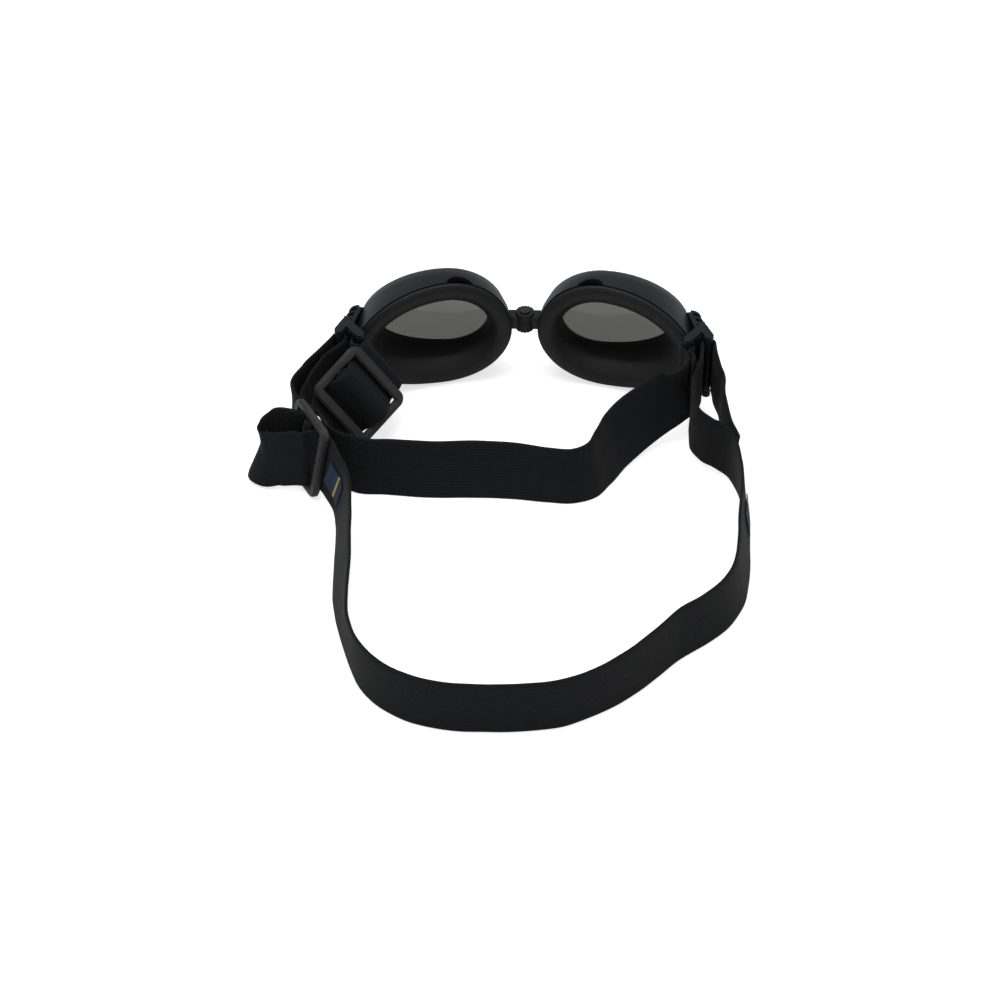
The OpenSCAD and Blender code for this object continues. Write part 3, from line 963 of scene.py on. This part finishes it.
@dataclass(frozen=True)
class BuckleFrame:
    """Place of a three-bar buckle.

    Args:
        centre: Middle of the buckle in millimetres.
        along: Direction of the strap through it.
        rise: Rough direction of the bars.
        side: Which side the running strap humps out to.
        length: Length of the buckle along the strap.
        bar: Width of its end bars.
        thick: Thickness of the buckle.
    """

    centre: tuple[float, float, float]
    along: tuple[float, float, float]
    rise: tuple[float, float, float]
    side: int
    length: float = 27.0
    bar: float = 4.0
    thick: float = 3.0

    def axes(self) -> tuple[np.ndarray, np.ndarray, np.ndarray]:
        """Axes of the buckle.

        Returns:
            Along the strap, across its plane and along the bars.
        """
        t = unit(np.array(self.along))
        w = np.array(self.rise)
        w = unit(w - (w @ t) * t)
        return t, unit(np.cross(t, w)), w

    def row(self, t: float, h: float) -> Row:
        """Strap row at a place in the buckle.

        Args:
            t: Distance along the strap from the middle bar.
            h: Distance out of the buckle's plane.

        Returns:
            The row.
        """
        a, n, w = self.axes()
        return (*(np.array(self.centre) + t * a + self.side * h * n), *w)


@dataclass(frozen=True)
class StrapMaker:
    """Routes of both straps, as the frame has them.

    Args:
        cup: Sizes of the cups.
        thick: Thickness of the strap.
        gap: Gap between two layers, and between strap and bar.
        bar_d: Diameter of the bars.
        head_bar: Place of the head strap's bar beside the temple.
        chin_bar: Place of the chin strap's bar beside the temple.
    """

    cup: CupShape
    thick: float = 1.6
    gap: float = 0.1
    bar_d: float = 3.0
    head_bar: tuple[float, float] = (17.5, 2.5)
    chin_bar: tuple[float, float] = (17.6, -6.5)

    @property
    def wrap(self) -> float:
        """Radius of the strap's middle round a bar.

        Returns:
            Radius in millimetres.
        """
        return self.bar_d / 2 + self.gap + self.thick / 2

    def arc(self, f: BuckleFrame, r: float, a0: float, a1: float, n: int) -> list[Row]:
        """Rows round the middle bar of a buckle.

        Args:
            f: The buckle.
            r: Radius.
            a0: First angle in degrees.
            a1: Last angle.
            n: Steps.

        Returns:
            The rows.
        """
        turns = (math.radians(a0 + (a1 - a0) * i / n) for i in range(n + 1))
        return [f.row(r * math.cos(a), r * math.sin(a)) for a in turns]

    def bar(self, side: Side, bar: tuple[float, float], r: float, a0: float, a1: float, n: int) -> list[Row]:
        """Rows round a temple bar.

        Args:
            side: Which half.
            bar: Place of the bar beside the temple.
            r: Radius.
            a0: First angle in degrees.
            a1: Last angle.
            n: Steps.

        Returns:
            The rows.
        """
        c = self.cup.temple(side, *bar) - np.array([*self.cup.shift, 0.0])
        turns = (math.radians(a0 + (a1 - a0) * i / n) for i in range(n + 1))
        return [(c[0] + r * math.cos(a), c[1] + r * math.sin(a), self.cup.mid_z, 0, 0, 1) for a in turns]

    def sewn(self, f: BuckleFrame) -> list[Row]:
        """The sewn end round the middle bar.

        Args:
            f: The buckle.

        Returns:
            The rows.
        """
        under = f.thick / 2 + 2 * self.gap + self.thick / 2
        below = under + self.thick + 3 * self.gap
        inner, middle = f.length / 2 - f.bar, f.length / 2 - f.bar / 2
        return self.arc(f, self.wrap, -95, 150, 10) + [
            f.row(-self.wrap - 1.9, -1.4),
            f.row(-inner + 2.9, -below + 1.1),
            f.row(-inner, -below),
            f.row(-middle - 1, -below),
        ]

    def rise(self, f: BuckleFrame, end: int) -> list[Row]:
        """The running layer from below an end bar up to the middle.

        Args:
            f: The buckle.
            end: Which end bar, -1 or 1.

        Returns:
            The rows.
        """
        under = f.thick / 2 + 2 * self.gap + self.thick / 2
        inner, middle = f.length / 2 - f.bar, f.length / 2 - f.bar / 2
        return [
            f.row(end * (middle + 1), -under),
            f.row(end * inner, -under),
            f.row(end * (inner - 2.1), -under + 1.3),
            f.row(end * (inner - 3.6), -under + 3.1),
        ]

    def loop_end(self, side: Side, bar: tuple[float, float], out: int) -> list[Row]:
        """The loop sewn round a temple bar.

        Args:
            side: Which half.
            bar: Place of the bar beside the temple.
            out: 1 if the long leg lies outside, else -1.

        Returns:
            The rows.
        """
        base = np.array([*self.cup.shift, 0.0])
        c = self.cup.temple(side, *bar) - base
        d = unit(self.cup.temple(side, bar[0] + 1, bar[1]) - base - c)
        q = unit(self.cup.temple(side, bar[0], bar[1] + 1) - base - c) * out
        pair = self.thick + 2 * self.gap
        legs = [(5.5, self.wrap * 0.75)]
        turns = (math.radians(80 - i * 26) for i in range(11))
        legs += [(-self.wrap * math.cos(a), self.wrap * math.sin(a)) for a in turns]
        legs += [(5.5, -pair * 0.4), (9, -pair / 2 + 0.4)]
        return [(*(c + d * u + q * n)[:2], self.cup.mid_z, 0, 0, 1) for u, n in legs]


HEAD_BUCKLE = BuckleFrame((-77.1, 12.7, 17.0), (0.466, -0.885, 0.0), (0.18, 0.1, 0.98), 1)
CHIN_BUCKLE = BuckleFrame((-57.1, 37.2, 24.3), (-0.652, -0.643, -0.406), (-0.596, 0.102, 0.795), -1)

OUT_ROWS: tuple[Row, ...] = (
    (-79.9, 31.2, 17.2, 0.1, 0.06, 0.99),
    (-76.2, 39.8, 20.6, 0.04, 0, 1),
    (-70.6, 47.4, 24, 0, 0, 1),
)
BACK_ROWS: tuple[Row, ...] = (
    (-72, 51.4, 25.6, 0, 0, 1),
    (-77.6, 45.4, 23, 0.03, 0, 1),
    (-83.4, 37.6, 19.6, 0.08, 0.04, 1),
)
SLACK_ROWS: tuple[Row, ...] = (
    (-82.5, 17.9, 18.1, 0.2, 0.1, 0.98),
    (-87.5, 19.4, 16.4, 0.26, 0.1, 0.96),
    (-92.6, 18.8, 14.4, 0.32, 0.1, 0.94),
    (-96, 16.6, 13.2, 0.36, 0.1, 0.93),
    (-97, 13.4, 13, 0.36, 0.06, 0.93),
    (-95, 10.6, 13.2, 0.33, 0.02, 0.94),
    (-90, 8.6, 14.6, 0.28, 0, 0.96),
    (-83, 7.2, 16, 0.22, 0.04, 0.98),
    (-78, 6.6, 16.8, 0.19, 0.1, 0.98),
)
LOOP_ROWS: tuple[Row, ...] = (
    (-66, -3, 15.2, 0.2, 0.05, 0.98),
    (-63.2, -8.5, 13.7, 0.22, 0, 0.97),
    (-61.8, -16, 12.6, 0.24, 0, 0.97),
    (-61.2, -28, 12.4, 0.26, 0, 0.96),
    (-61, -44, 12.2, 0.28, 0, 0.96),
    (-60.5, -60, 12.2, 0.28, 0, 0.96),
    (-59.2, -76, 12.4, 0.14, 0, 0.99),
    (-56.6, -92, 12.6, 0, 0, 1),
    (-52.4, -104, 12.6, 0, 0, 1),
    (-45, -114, 12.6, 0, 0, 1),
    (-34.5, -121.4, 12.6, 0, 0, 1),
    (-21, -125.8, 12.6, 0, 0, 1),
    (-6, -127, 12.6, 0, 0, 1),
    (9, -126.6, 12.6, 0, 0, 1),
    (22, -124.6, 12.6, 0, 0, 1),
    (36, -118, 12.6, 0, 0, 1),
    (48, -109, 12.6, 0, 0.05, 1),
    (58.5, -98.4, 12.6, 0, 0.08, 1),
    (67.5, -88.4, 12.6, -0.04, 0.08, 1),
    (77.6, -80.4, 12.6, -0.08, 0.06, 1),
    (85.6, -72, 12.5, -0.12, 0.04, 0.99),
    (91.2, -61, 12.4, -0.17, 0, 0.98),
    (93.8, -48, 12.3, -0.2, 0, 0.98),
    (95.2, -32, 12.3, -0.2, 0, 0.98),
    (96.4, -16, 12.6, -0.14, 0, 0.99),
    (95.8, -3, 13.2, -0.08, 0, 1),
    (94.4, 6, 13.4, -0.04, 0, 1),
    (91.8, 12.6, 14.2, 0, 0, 1),
    (87.6, 16.4, 15, 0, 0, 1),
    (83, 19, 16.2, 0, 0, 1),
    (79.2, 23, 18, 0, 0, 1),
    (77.6, 29.5, 20.2, 0, 0, 1),
    (78.6, 37.4, 22.8, 0, 0, 1),
    (81.2, 44.5, 25.2, 0, 0, 1),
)
RETURN_ROWS: tuple[Row, ...] = (
    (88.2, 45, 24.4, 0, 0, 1),
    (89.8, 38, 22, 0, 0, 1),
    (90, 31, 19.9, 0, 0, 1),
    (90.8, 24.5, 17.4, 0, 0, 1),
    (92.2, 18, 15.2, 0, 0, 1),
    (94.1, 12.6, 13.9, 0, 0, 1),
)
CHIN_ROWS: tuple[Row, ...] = (
    (-68.8, 28.2, 16, -0.34, 0.1, 0.93),
    (-69.2, 24, 14.6, -0.18, 0.05, 0.98),
    (-68.9, 18.8, 13.5, -0.08, 0, 1),
    (-66, 14, 12.8, 0.06, 0, 1),
    (-61.8, 10.6, 12.4, 0.2, 0.1, 0.97),
    (-56, 7.8, 12, 0.3, 0.2, 0.93),
    (-44, 6.8, 11.9, 0.2, 0.26, 0.94),
    (-27, 5.4, 11.8, 0.08, 0.3, 0.95),
    (-10, 5.6, 11.8, 0, 0.33, 0.94),
    (6, 4.4, 11.9, 0, 0.3, 0.95),
    (19, 1.8, 12.1, 0, 0.24, 0.97),
    (29, 1, 12.2, -0.04, 0.22, 0.97),
    (36.4, 4.6, 12, -0.1, 0.28, 0.95),
    (41.6, 13, 11.8, -0.22, 0.3, 0.92),
    (47.2, 23.6, 12, -0.34, 0.3, 0.88),
    (54.4, 32, 13.6, -0.42, 0.28, 0.86),
    (62.4, 37, 17, -0.4, 0.24, 0.9),
    (68.6, 39.4, 20.4, -0.4, 0.2, 0.9),
    (73.6, 41.2, 23.6, -0.26, 0.1, 0.96),
)


def head_route(maker: StrapMaker) -> list[Row]:
    """Rows of the head strap from its sewn end to the right temple.

    Args:
        maker: Route maker.

    Returns:
        The rows.
    """
    f = HEAD_BUCKLE
    return [
        *maker.sewn(f),
        *OUT_ROWS,
        *maker.bar(Side.LEFT, maker.head_bar, maker.wrap + 0.1, -16, 164, 10),
        *BACK_ROWS,
        *maker.rise(f, -1),
        *SLACK_ROWS,
        *reversed(maker.rise(f, 1)),
        *LOOP_ROWS,
        *maker.bar(Side.RIGHT, maker.head_bar, maker.wrap + 0.1, 185, -10, 10),
        *RETURN_ROWS,
    ]


def chin_route(maker: StrapMaker) -> list[Row]:
    """Rows of the chin strap from its sewn end to the right temple.

    Args:
        maker: Route maker.

    Returns:
        The rows.
    """
    f = CHIN_BUCKLE
    under = f.thick / 2 + 2 * maker.gap + maker.thick / 2
    middle = f.length / 2 - f.bar / 2

    def turn(r: float, a: float) -> Row:
        """Row of the tight turn behind the upper bar.

        Args:
            r: Radius.
            a: Angle in degrees.

        Returns:
            The row.
        """
        c, s = math.cos(math.radians(a)), math.sin(math.radians(a))
        return f.row(-middle - 1 - 2.2 - r * s, -under - 3.4 + r * c)

    hump = maker.wrap + maker.thick + 2 * maker.gap + 0.5
    return [
        *maker.sewn(f),
        *[turn(1.5, 96 * i / 3) for i in range(4)],
        *maker.bar(Side.LEFT, maker.chin_bar, maker.wrap + 1.1, -84, -276, 10),
        *[turn(3.4, 96 * (1 - i / 4)) for i in range(5)],
        *maker.rise(f, -1),
        *maker.arc(f, hump, 145, 35, 4),
        *reversed(maker.rise(f, 1)),
        *CHIN_ROWS,
        *maker.loop_end(Side.RIGHT, maker.chin_bar, -1),
    ]


def smooth_rows(rows: Sequence[Row], step: float) -> np.ndarray:
    """Smooths a route through its rows.

    Args:
        rows: The rows.
        step: Longest step in millimetres.

    Returns:
        Fine rows, one to a line.
    """
    p = np.array(rows, float)
    d = np.linalg.norm(np.diff(p[:, :3], axis=0), axis=1)
    slopes = np.diff(p, axis=0) / d[:, None]
    between = (slopes[1:] * d[:-1, None] + slopes[:-1] * d[1:, None]) / (d[:-1] + d[1:])[:, None]
    m = np.vstack([slopes[:1], between, slopes[-1:]])
    made = []
    for i, length in enumerate(d):
        n = max(1, math.ceil(length / step))
        for k in range(n):
            t = k / n
            made.append(
                p[i] * (2 * t**3 - 3 * t * t + 1)
                + m[i] * length * (t**3 - 2 * t * t + t)
                + p[i + 1] * (3 * t * t - 2 * t**3)
                + m[i + 1] * length * (t**3 - t * t)
            )
    made.append(p[-1])
    return np.array(made)


@dataclass(frozen=True)
class Band:
    """A flat strap swept along fine rows.

    Args:
        rows: Fine rows in millimetres, before the strap's shift.
        width: Width in millimetres.
        thick: Thickness in millimetres.
        raised: Distance that its middle lies off the rows.
        ripple: Height of the slack ripples at its edges.
        columns: Points across one face.
        snug: Middle of a buckle that the strap fills from side to side, or None.
        snug_room: Width that the strap gains there.
        snug_reach: Distance from the buckle's middle at which the strap is narrow again.
        snug_fade: Length over which it narrows.
        shift: Move that puts the goggles' middle over the origin.
    """

    rows: np.ndarray
    width: float
    thick: float
    raised: float = 0.0
    ripple: float = 0.0
    columns: int = 15
    snug: tuple[float, float, float] | None = None
    snug_room: float = 1.6
    snug_reach: float = 17.0
    snug_fade: float = 5.0
    shift: tuple[float, float, float] = (1.25, 16.68, -0.35)

    def frames(self) -> tuple[np.ndarray, np.ndarray, np.ndarray, np.ndarray]:
        """Centre, up and outward direction and travelled length at each row.

        Returns:
            Four arrays.
        """
        c = self.rows[:, :3] + np.array(self.shift)
        t = np.gradient(c, axis=0)
        t /= np.linalg.norm(t, axis=1)[:, None]
        u = self.rows[:, 3:]
        u = u - (u * t).sum(1)[:, None] * t
        u /= np.linalg.norm(u, axis=1)[:, None]
        run = np.concatenate([[0.0], np.cumsum(np.linalg.norm(np.diff(c, axis=0), axis=1))])
        return c, u, np.cross(t, u), run

    def build(self, name: str, material: bpy.types.Material) -> bpy.types.Object:
        """Builds the strap's mesh.

        Args:
            name: Name of the piece.
            material: Its material.

        Returns:
            The object.
        """
        c, u, s, run = self.frames()
        across = np.sin(np.linspace(-math.pi / 2, math.pi / 2, self.columns))
        half = self.thick / 2 * np.maximum(1 - np.abs(across) ** 22, 0) ** 0.5
        v = np.concatenate([-across, across[1:-1]])
        h = np.concatenate([half, -half[1:-1]])
        wave = self.ripple * (np.sin(run / 3.1) + 0.6 * np.sin(run / 1.9 + 1.3))
        out = self.raised + h[None, :] + wave[:, None] * np.sign(v)[None, :] * np.abs(v[None, :]) ** 4
        wide = np.full(len(c), self.width)
        if self.snug is not None:
            near = np.linalg.norm(self.rows[:, :3] - np.array(self.snug), axis=1)
            wide += self.snug_room * np.clip((self.snug_reach - near) / self.snug_fade, 0.0, 1.0)
        spread = wide[:, None] * v[None, :] / 2
        points = c[:, None, :] + u[:, None, :] * spread[:, :, None] + s[:, None, :] * out[:, :, None]
        points[:, :, 2] = np.maximum(points[:, :, 2], FLOOR_ROOM)
        n, k = points.shape[:2]
        faces: list[Sequence[int]] = list(ring_faces(n, k, False))
        faces += [tuple(range(k - 1, -1, -1)), tuple(range((n - 1) * k, n * k))]
        side = np.concatenate([np.zeros(self.columns), np.full(self.columns - 2, REAR_FACE_UV)])
        uv = np.stack([np.repeat(run, k), np.tile(v * self.width / 2 + side, n)], axis=1)
        return mesh_object(name, points.reshape(-1, 3) * MM, faces, material, uv)

    def stitch(
        self, name: str, material: bpy.types.Material, at: float, face: int, count: int = 9
    ) -> bpy.types.Object:
        """Sews a row of stitches across the strap.

        Args:
            name: Name of the piece.
            material: Thread's material.
            at: Distance along the strap in millimetres.
            face: 1 for the outer face, -1 for the inner one.
            count: Number of stitches.

        Returns:
            The object.
        """
        c, u, s, run = self.frames()
        i = int(np.argmin(np.abs(run - at)))
        t = np.cross(u[i], s[i])
        pitch = (self.width - 3) / count
        points: list[np.ndarray] = []
        faces: list[Sequence[int]] = []
        for k in range(count):
            middle = c[i] + u[i] * (k - (count - 1) / 2) * pitch + s[i] * face * (self.thick / 2 + 0.02)
            base = len(points)
            for a in np.linspace(-1, 1, 7):
                swell = 0.2 * max(1 - a * a, 0.02) ** 0.5
                for b in np.arange(6) * math.pi / 3:
                    around = (t * math.cos(b) + s[i] * math.sin(b)) * swell
                    points.append(middle + u[i] * a * pitch * 0.4 + around)
            faces += [tuple(base + q for q in f) for f in ring_faces(7, 6, False)]
            faces += [tuple(base + q for q in range(5, -1, -1)), tuple(base + 36 + q for q in range(6))]
        return mesh_object(name, np.array(points) * MM, faces, material)


@dataclass
class EyeCup:
    """One eye cup with its lens, ring, seal, temple and foam.

    Args:
        side: Which half.
        shape: Sizes of the cup.
        finishes: Materials.
        steps: Steps round the seal.
    """

    side: Side
    shape: CupShape
    finishes: Finishes
    steps: int = 168

    @property
    def prefix(self) -> str:
        """Start of the nodes' names.

        Returns:
            The prefix.
        """
        return self.side.name.lower()

    @property
    def body(self) -> str:
        """Body that the cup rides on.

        Returns:
            Name of the body.
        """
        return self.prefix + "_half"

    def seal(self) -> None:
        """Builds the soft face seal."""
        c = self.shape
        proud = c.proud
        rear = [
            (c.wall + 0.2, -0.1),
            (0.7, 0.15),
            (0.55, proud * 0.5),
            (1.6, proud * 0.86),
            (c.lip * 0.36, proud),
            (c.lip * 0.58, proud * 0.72),
            (c.lip * 0.77, -0.4),
            (c.lip * 0.92, -2.6),
            (c.lip * 0.99, -5.4),
        ]
        front = [(c.lip - 0.1, c.seat_back + 0.3), (c.taper + c.wall + 0.3, c.seat_back + 0.3)]
        points = []
        for i in range(self.steps):
            a = 2 * math.pi * i / self.steps
            swell = 0.12 * math.sin(5 * a + 0.7) + 0.08 * math.sin(11 * a)
            brow = 2.6 * max(0.0, math.sin(a)) ** 1.5 + 1.2 * max(0.0, math.cos(a + 1.9)) ** 2
            section = []
            for inset, back in rear:
                inset += brow * max(0.0, inset / c.lip - 0.5) * 2
                s, z = c.outline(a, inset)
                roll = swell * max(0.0, math.sin(math.pi * inset / c.lip)) * 0.6
                section.append((s, c.rim_y(s) - back - roll, z))
            for inset, back in front:
                s, z = c.outline(a, inset + (brow if inset > c.lip / 2 else 0.0))
                section.append((s, c.front_y(s, z) - back, z))
            ring = round_profile(np.array(section), 4)
            points += [c.place(self.side, *q) for q in ring]
        faces = ring_faces(self.steps, len(points) // self.steps, True)
        obj = mesh_object(self.prefix + "_face_seal", np.array(points), faces, self.finishes.seal)
        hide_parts(self.prefix + "_gasket")
        mount(obj, self.body)

    def foam(self, name: str, node: str, base: np.ndarray, axis: np.ndarray, r: float, length: float) -> None:
        """Builds a round foam plug.

        Args:
            name: Name of the piece.
            node: Node of the frame that it stands for.
            base: Middle of its lower end in metres.
            axis: Direction of its axis.
            r: Radius in millimetres.
            length: Length in millimetres.
        """
        axis = unit(axis)
        aside = np.array([0.3, 0.2, 0.9] if abs(axis[2]) < 0.9 else [1.0, 0.0, 0.0])
        x = unit(np.cross(axis, aside))
        y = np.cross(axis, x)
        sides = 40
        bevel = ((0.0, 0.5), (0.15, 0.15), (0.5, 0.0))
        levels = [(0.0, 0.0), *((h, r - q) for h, q in bevel)]
        levels += [*((length - h, r - q) for h, q in reversed(bevel)), (length, 0.0)]
        points = [
            base + (axis * h + (x * math.cos(b) + y * math.sin(b)) * max(q, 0.01)) * MM
            for h, q in levels
            for b in np.arange(sides) * math.pi / (sides / 2)
        ]
        faces = ring_faces(len(levels), sides, False)
        obj = mesh_object(self.prefix + name, np.array(points), faces, self.finishes.foam)
        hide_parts(self.prefix + node)
        mount(obj, self.body)

    def build(self) -> None:
        """Builds and dresses every piece of the cup."""
        f, c = self.finishes, self.shape
        dress(self.prefix + "_frame", f.cup, 24)
        dress(self.prefix + "_temple", f.cup)
        dress(self.prefix + "_lens_rim", f.ring, 50)
        dress(self.prefix + "_lens", f.lens)
        dress(self.prefix + "_bridge_arm", f.hinge)
        self.seal()
        top = c.outline(math.radians(110), c.wall + c.taper * 0.6)[1]
        y = c.rim_y(c.notch_s) + c.plug_r + 0.6
        up = np.array([0.0, 0.0, 1.0])
        low = c.place(self.side, c.notch_s, y, top - c.lip / 2 + 1.6)
        self.foam("_top_foam", "_top_vent_foam", low, up, c.plug_r, c.lip / 2 - 1.7)
        inner, outer = (c.temple(self.side, 0, n) * MM for n in (-5.6, -0.2))
        self.foam("_side_foam", "_side_vent_foam", inner, outer - inner, c.disc_r, 5.4)
        log.info("%s eye cup ready", self.prefix)


@dataclass
class Straps:
    """Both elastic straps with their buckles, labels and seams.

    Args:
        maker: Route maker.
        finishes: Materials.
        width: Width of the elastic.
        thick: Thickness of the elastic.
        step: Longest step along a route.
        seams: Distances of the seams from the strap's end.
    """

    maker: StrapMaker
    finishes: Finishes
    width: float = 24.9
    thick: float = 1.5
    step: float = 0.9
    seams: tuple[float, float] = (2.2, 4.6)

    def strap(self, name: str, route: list[Row], held: BuckleFrame) -> None:
        """Builds one strap and its seams.

        Args:
            name: Node of the frame that it stands for.
            route: Its rows.
            held: Buckle that it runs through.
        """
        rows = smooth_rows(route, self.step)
        band = Band(rows, self.width, self.thick, ripple=0.05, snug=held.centre)
        obj = band.build(name.replace("strap", "elastic"), self.finishes.strap)
        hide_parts(name)
        mount(obj, "left_half")
        total = band.frames()[3][-1]
        for k, back in enumerate(self.seams):
            seam = band.stitch(f"{name}_seam_{k + 1}", self.finishes.thread, total - back, -1)
            mount(seam, "left_half")

    def label(self, node: str, side: Side, y0: float, length: float = 13.0) -> None:
        """Builds a sewn label.

        Args:
            node: Node of the frame that it stands for.
            side: Side of the head strap.
            y0: Start of the label in millimetres.
            length: Length in millimetres.
        """
        rows = smooth_rows([*reversed(self.maker.rise(HEAD_BUCKLE, 1)), *LOOP_ROWS], self.step)
        held = rows[(side.value * rows[:, 0] > 0) & (rows[:, 1] >= y0) & (rows[:, 1] <= y0 + length)]
        raised = self.maker.thick / 2 + 0.2 + 0.25
        band = Band(held, width=11.8, thick=0.45, raised=raised, columns=11)
        obj = band.build(node.replace("label", "tag"), self.finishes.label)
        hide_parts(node)
        mount(obj, "left_half")

    def build(self) -> None:
        """Builds and dresses every piece of the straps."""
        self.strap("head_strap", head_route(self.maker), HEAD_BUCKLE)
        self.strap("chin_strap", chin_route(self.maker), CHIN_BUCKLE)
        self.label("left_label", Side.LEFT, -13)
        self.label("right_label", Side.RIGHT, -29)
        for node in ("head_strap_buckle", "chin_strap_buckle"):
            dress(node, self.finishes.buckle)
        log.info("straps ready")


@dataclass
class Studio:
    """Floor, lamps and camera.

    Args:
        target: Point that the camera looks at, in metres.
        distance: Distance of the camera in metres.
        elevation: Height angle of the camera in degrees.
        lens: Focal length in millimetres.
        glow: Light that the floor itself gives to the camera.
        sky: Strength of the even light all round.
    """

    target: tuple[float, float, float] = (0.00125, 0.01668, 0.0)
    distance: float = 1.13
    elevation: float = 42.0
    lens: float = 101.52
    glow: float = 0.66
    sky: float = 0.33

    def floor(self) -> None:
        """Builds the pale floor, which keeps a soft shadow."""
        points = np.array([(x, y, -0.2 * MM) for x, y in ((-6, -6), (6, -6), (6, 10), (-6, 10))])
        material, tree, bsdf = start_material("Pale floor")
        bsdf.inputs["Base Color"].default_value = (0.9, 0.9, 0.9, 1.0)
        bsdf.inputs["Roughness"].default_value = 0.95
        bsdf.inputs["Specular IOR Level"].default_value = 0.0
        bsdf.inputs["Emission Color"].default_value = (1.0, 1.0, 1.0, 1.0)
        path = add(tree, "ShaderNodeLightPath")
        seen = math_node(tree, "MAXIMUM", path.outputs["Is Camera Ray"], path.outputs["Is Transmission Ray"])
        link(tree, math_node(tree, "MULTIPLY", seen, self.glow), bsdf.inputs["Emission Strength"])
        obj = mesh_object("floor", points, [(0, 1, 2, 3)], material)

    def lamp(self, name: str, at: tuple[float, float, float], size: float, watts: float) -> None:
        """Adds a square soft lamp that points at the target.

        Args:
            name: Name of the lamp.
            at: Place in metres.
            size: Side of the lamp in metres.
            watts: Power.
        """
        data = bpy.data.lights.new(name, "AREA")
        data.size, data.energy = size, watts
        obj = bpy.data.objects.new(name, data)
        obj.location = at
        obj.rotation_mode = "QUATERNION"
        obj.rotation_quaternion = (Vector(self.target) - Vector(at)).to_track_quat("-Z", "Y")
        bpy.context.scene.collection.objects.link(obj)

    def build(self) -> None:
        """Builds the whole studio."""
        scene = bpy.context.scene
        scene.view_settings.view_transform = "Standard"
        world = bpy.data.worlds.new("Studio")
        world.use_nodes = True
        scene.world = world
        background = next(n for n in world.node_tree.nodes if n.type == "BACKGROUND")
        background.inputs["Color"].default_value = (1.0, 1.0, 1.0, 1.0)
        background.inputs["Strength"].default_value = self.sky
        self.floor()
        self.lamp("Overhead", (-0.1, 0.1, 1.3), 1.1, 9.5)
        self.lamp("Left", (-1.1, -0.35, 0.75), 0.7, 1.0)
        self.lamp("Right", (1.0, -0.5, 0.9), 0.7, 1.0)
        data = bpy.data.cameras.new("Camera")
        data.lens, data.sensor_width = self.lens, 36.0
        camera = bpy.data.objects.new("Camera", data)
        e = math.radians(self.elevation)
        camera.location = Vector(self.target) + self.distance * Vector((0.0, -math.cos(e), math.sin(e)))
        camera.rotation_euler = (math.pi / 2 - e, 0.0, 0.0)
        scene.collection.objects.link(camera)
        scene.camera = camera
        log.info("studio ready")


def main() -> None:
    """Builds the goggles and the studio in order."""
    logging.basicConfig(level=logging.INFO, format="%(message)s")
    finishes = build_finishes()
    shape = CupShape()
    for side in Side:
        EyeCup(side, shape, finishes).build()
    dress("bridge_pin", finishes.pin)
    Straps(StrapMaker(shape), finishes).build()
    Studio().build()


if __name__ == "__main__":
    main()
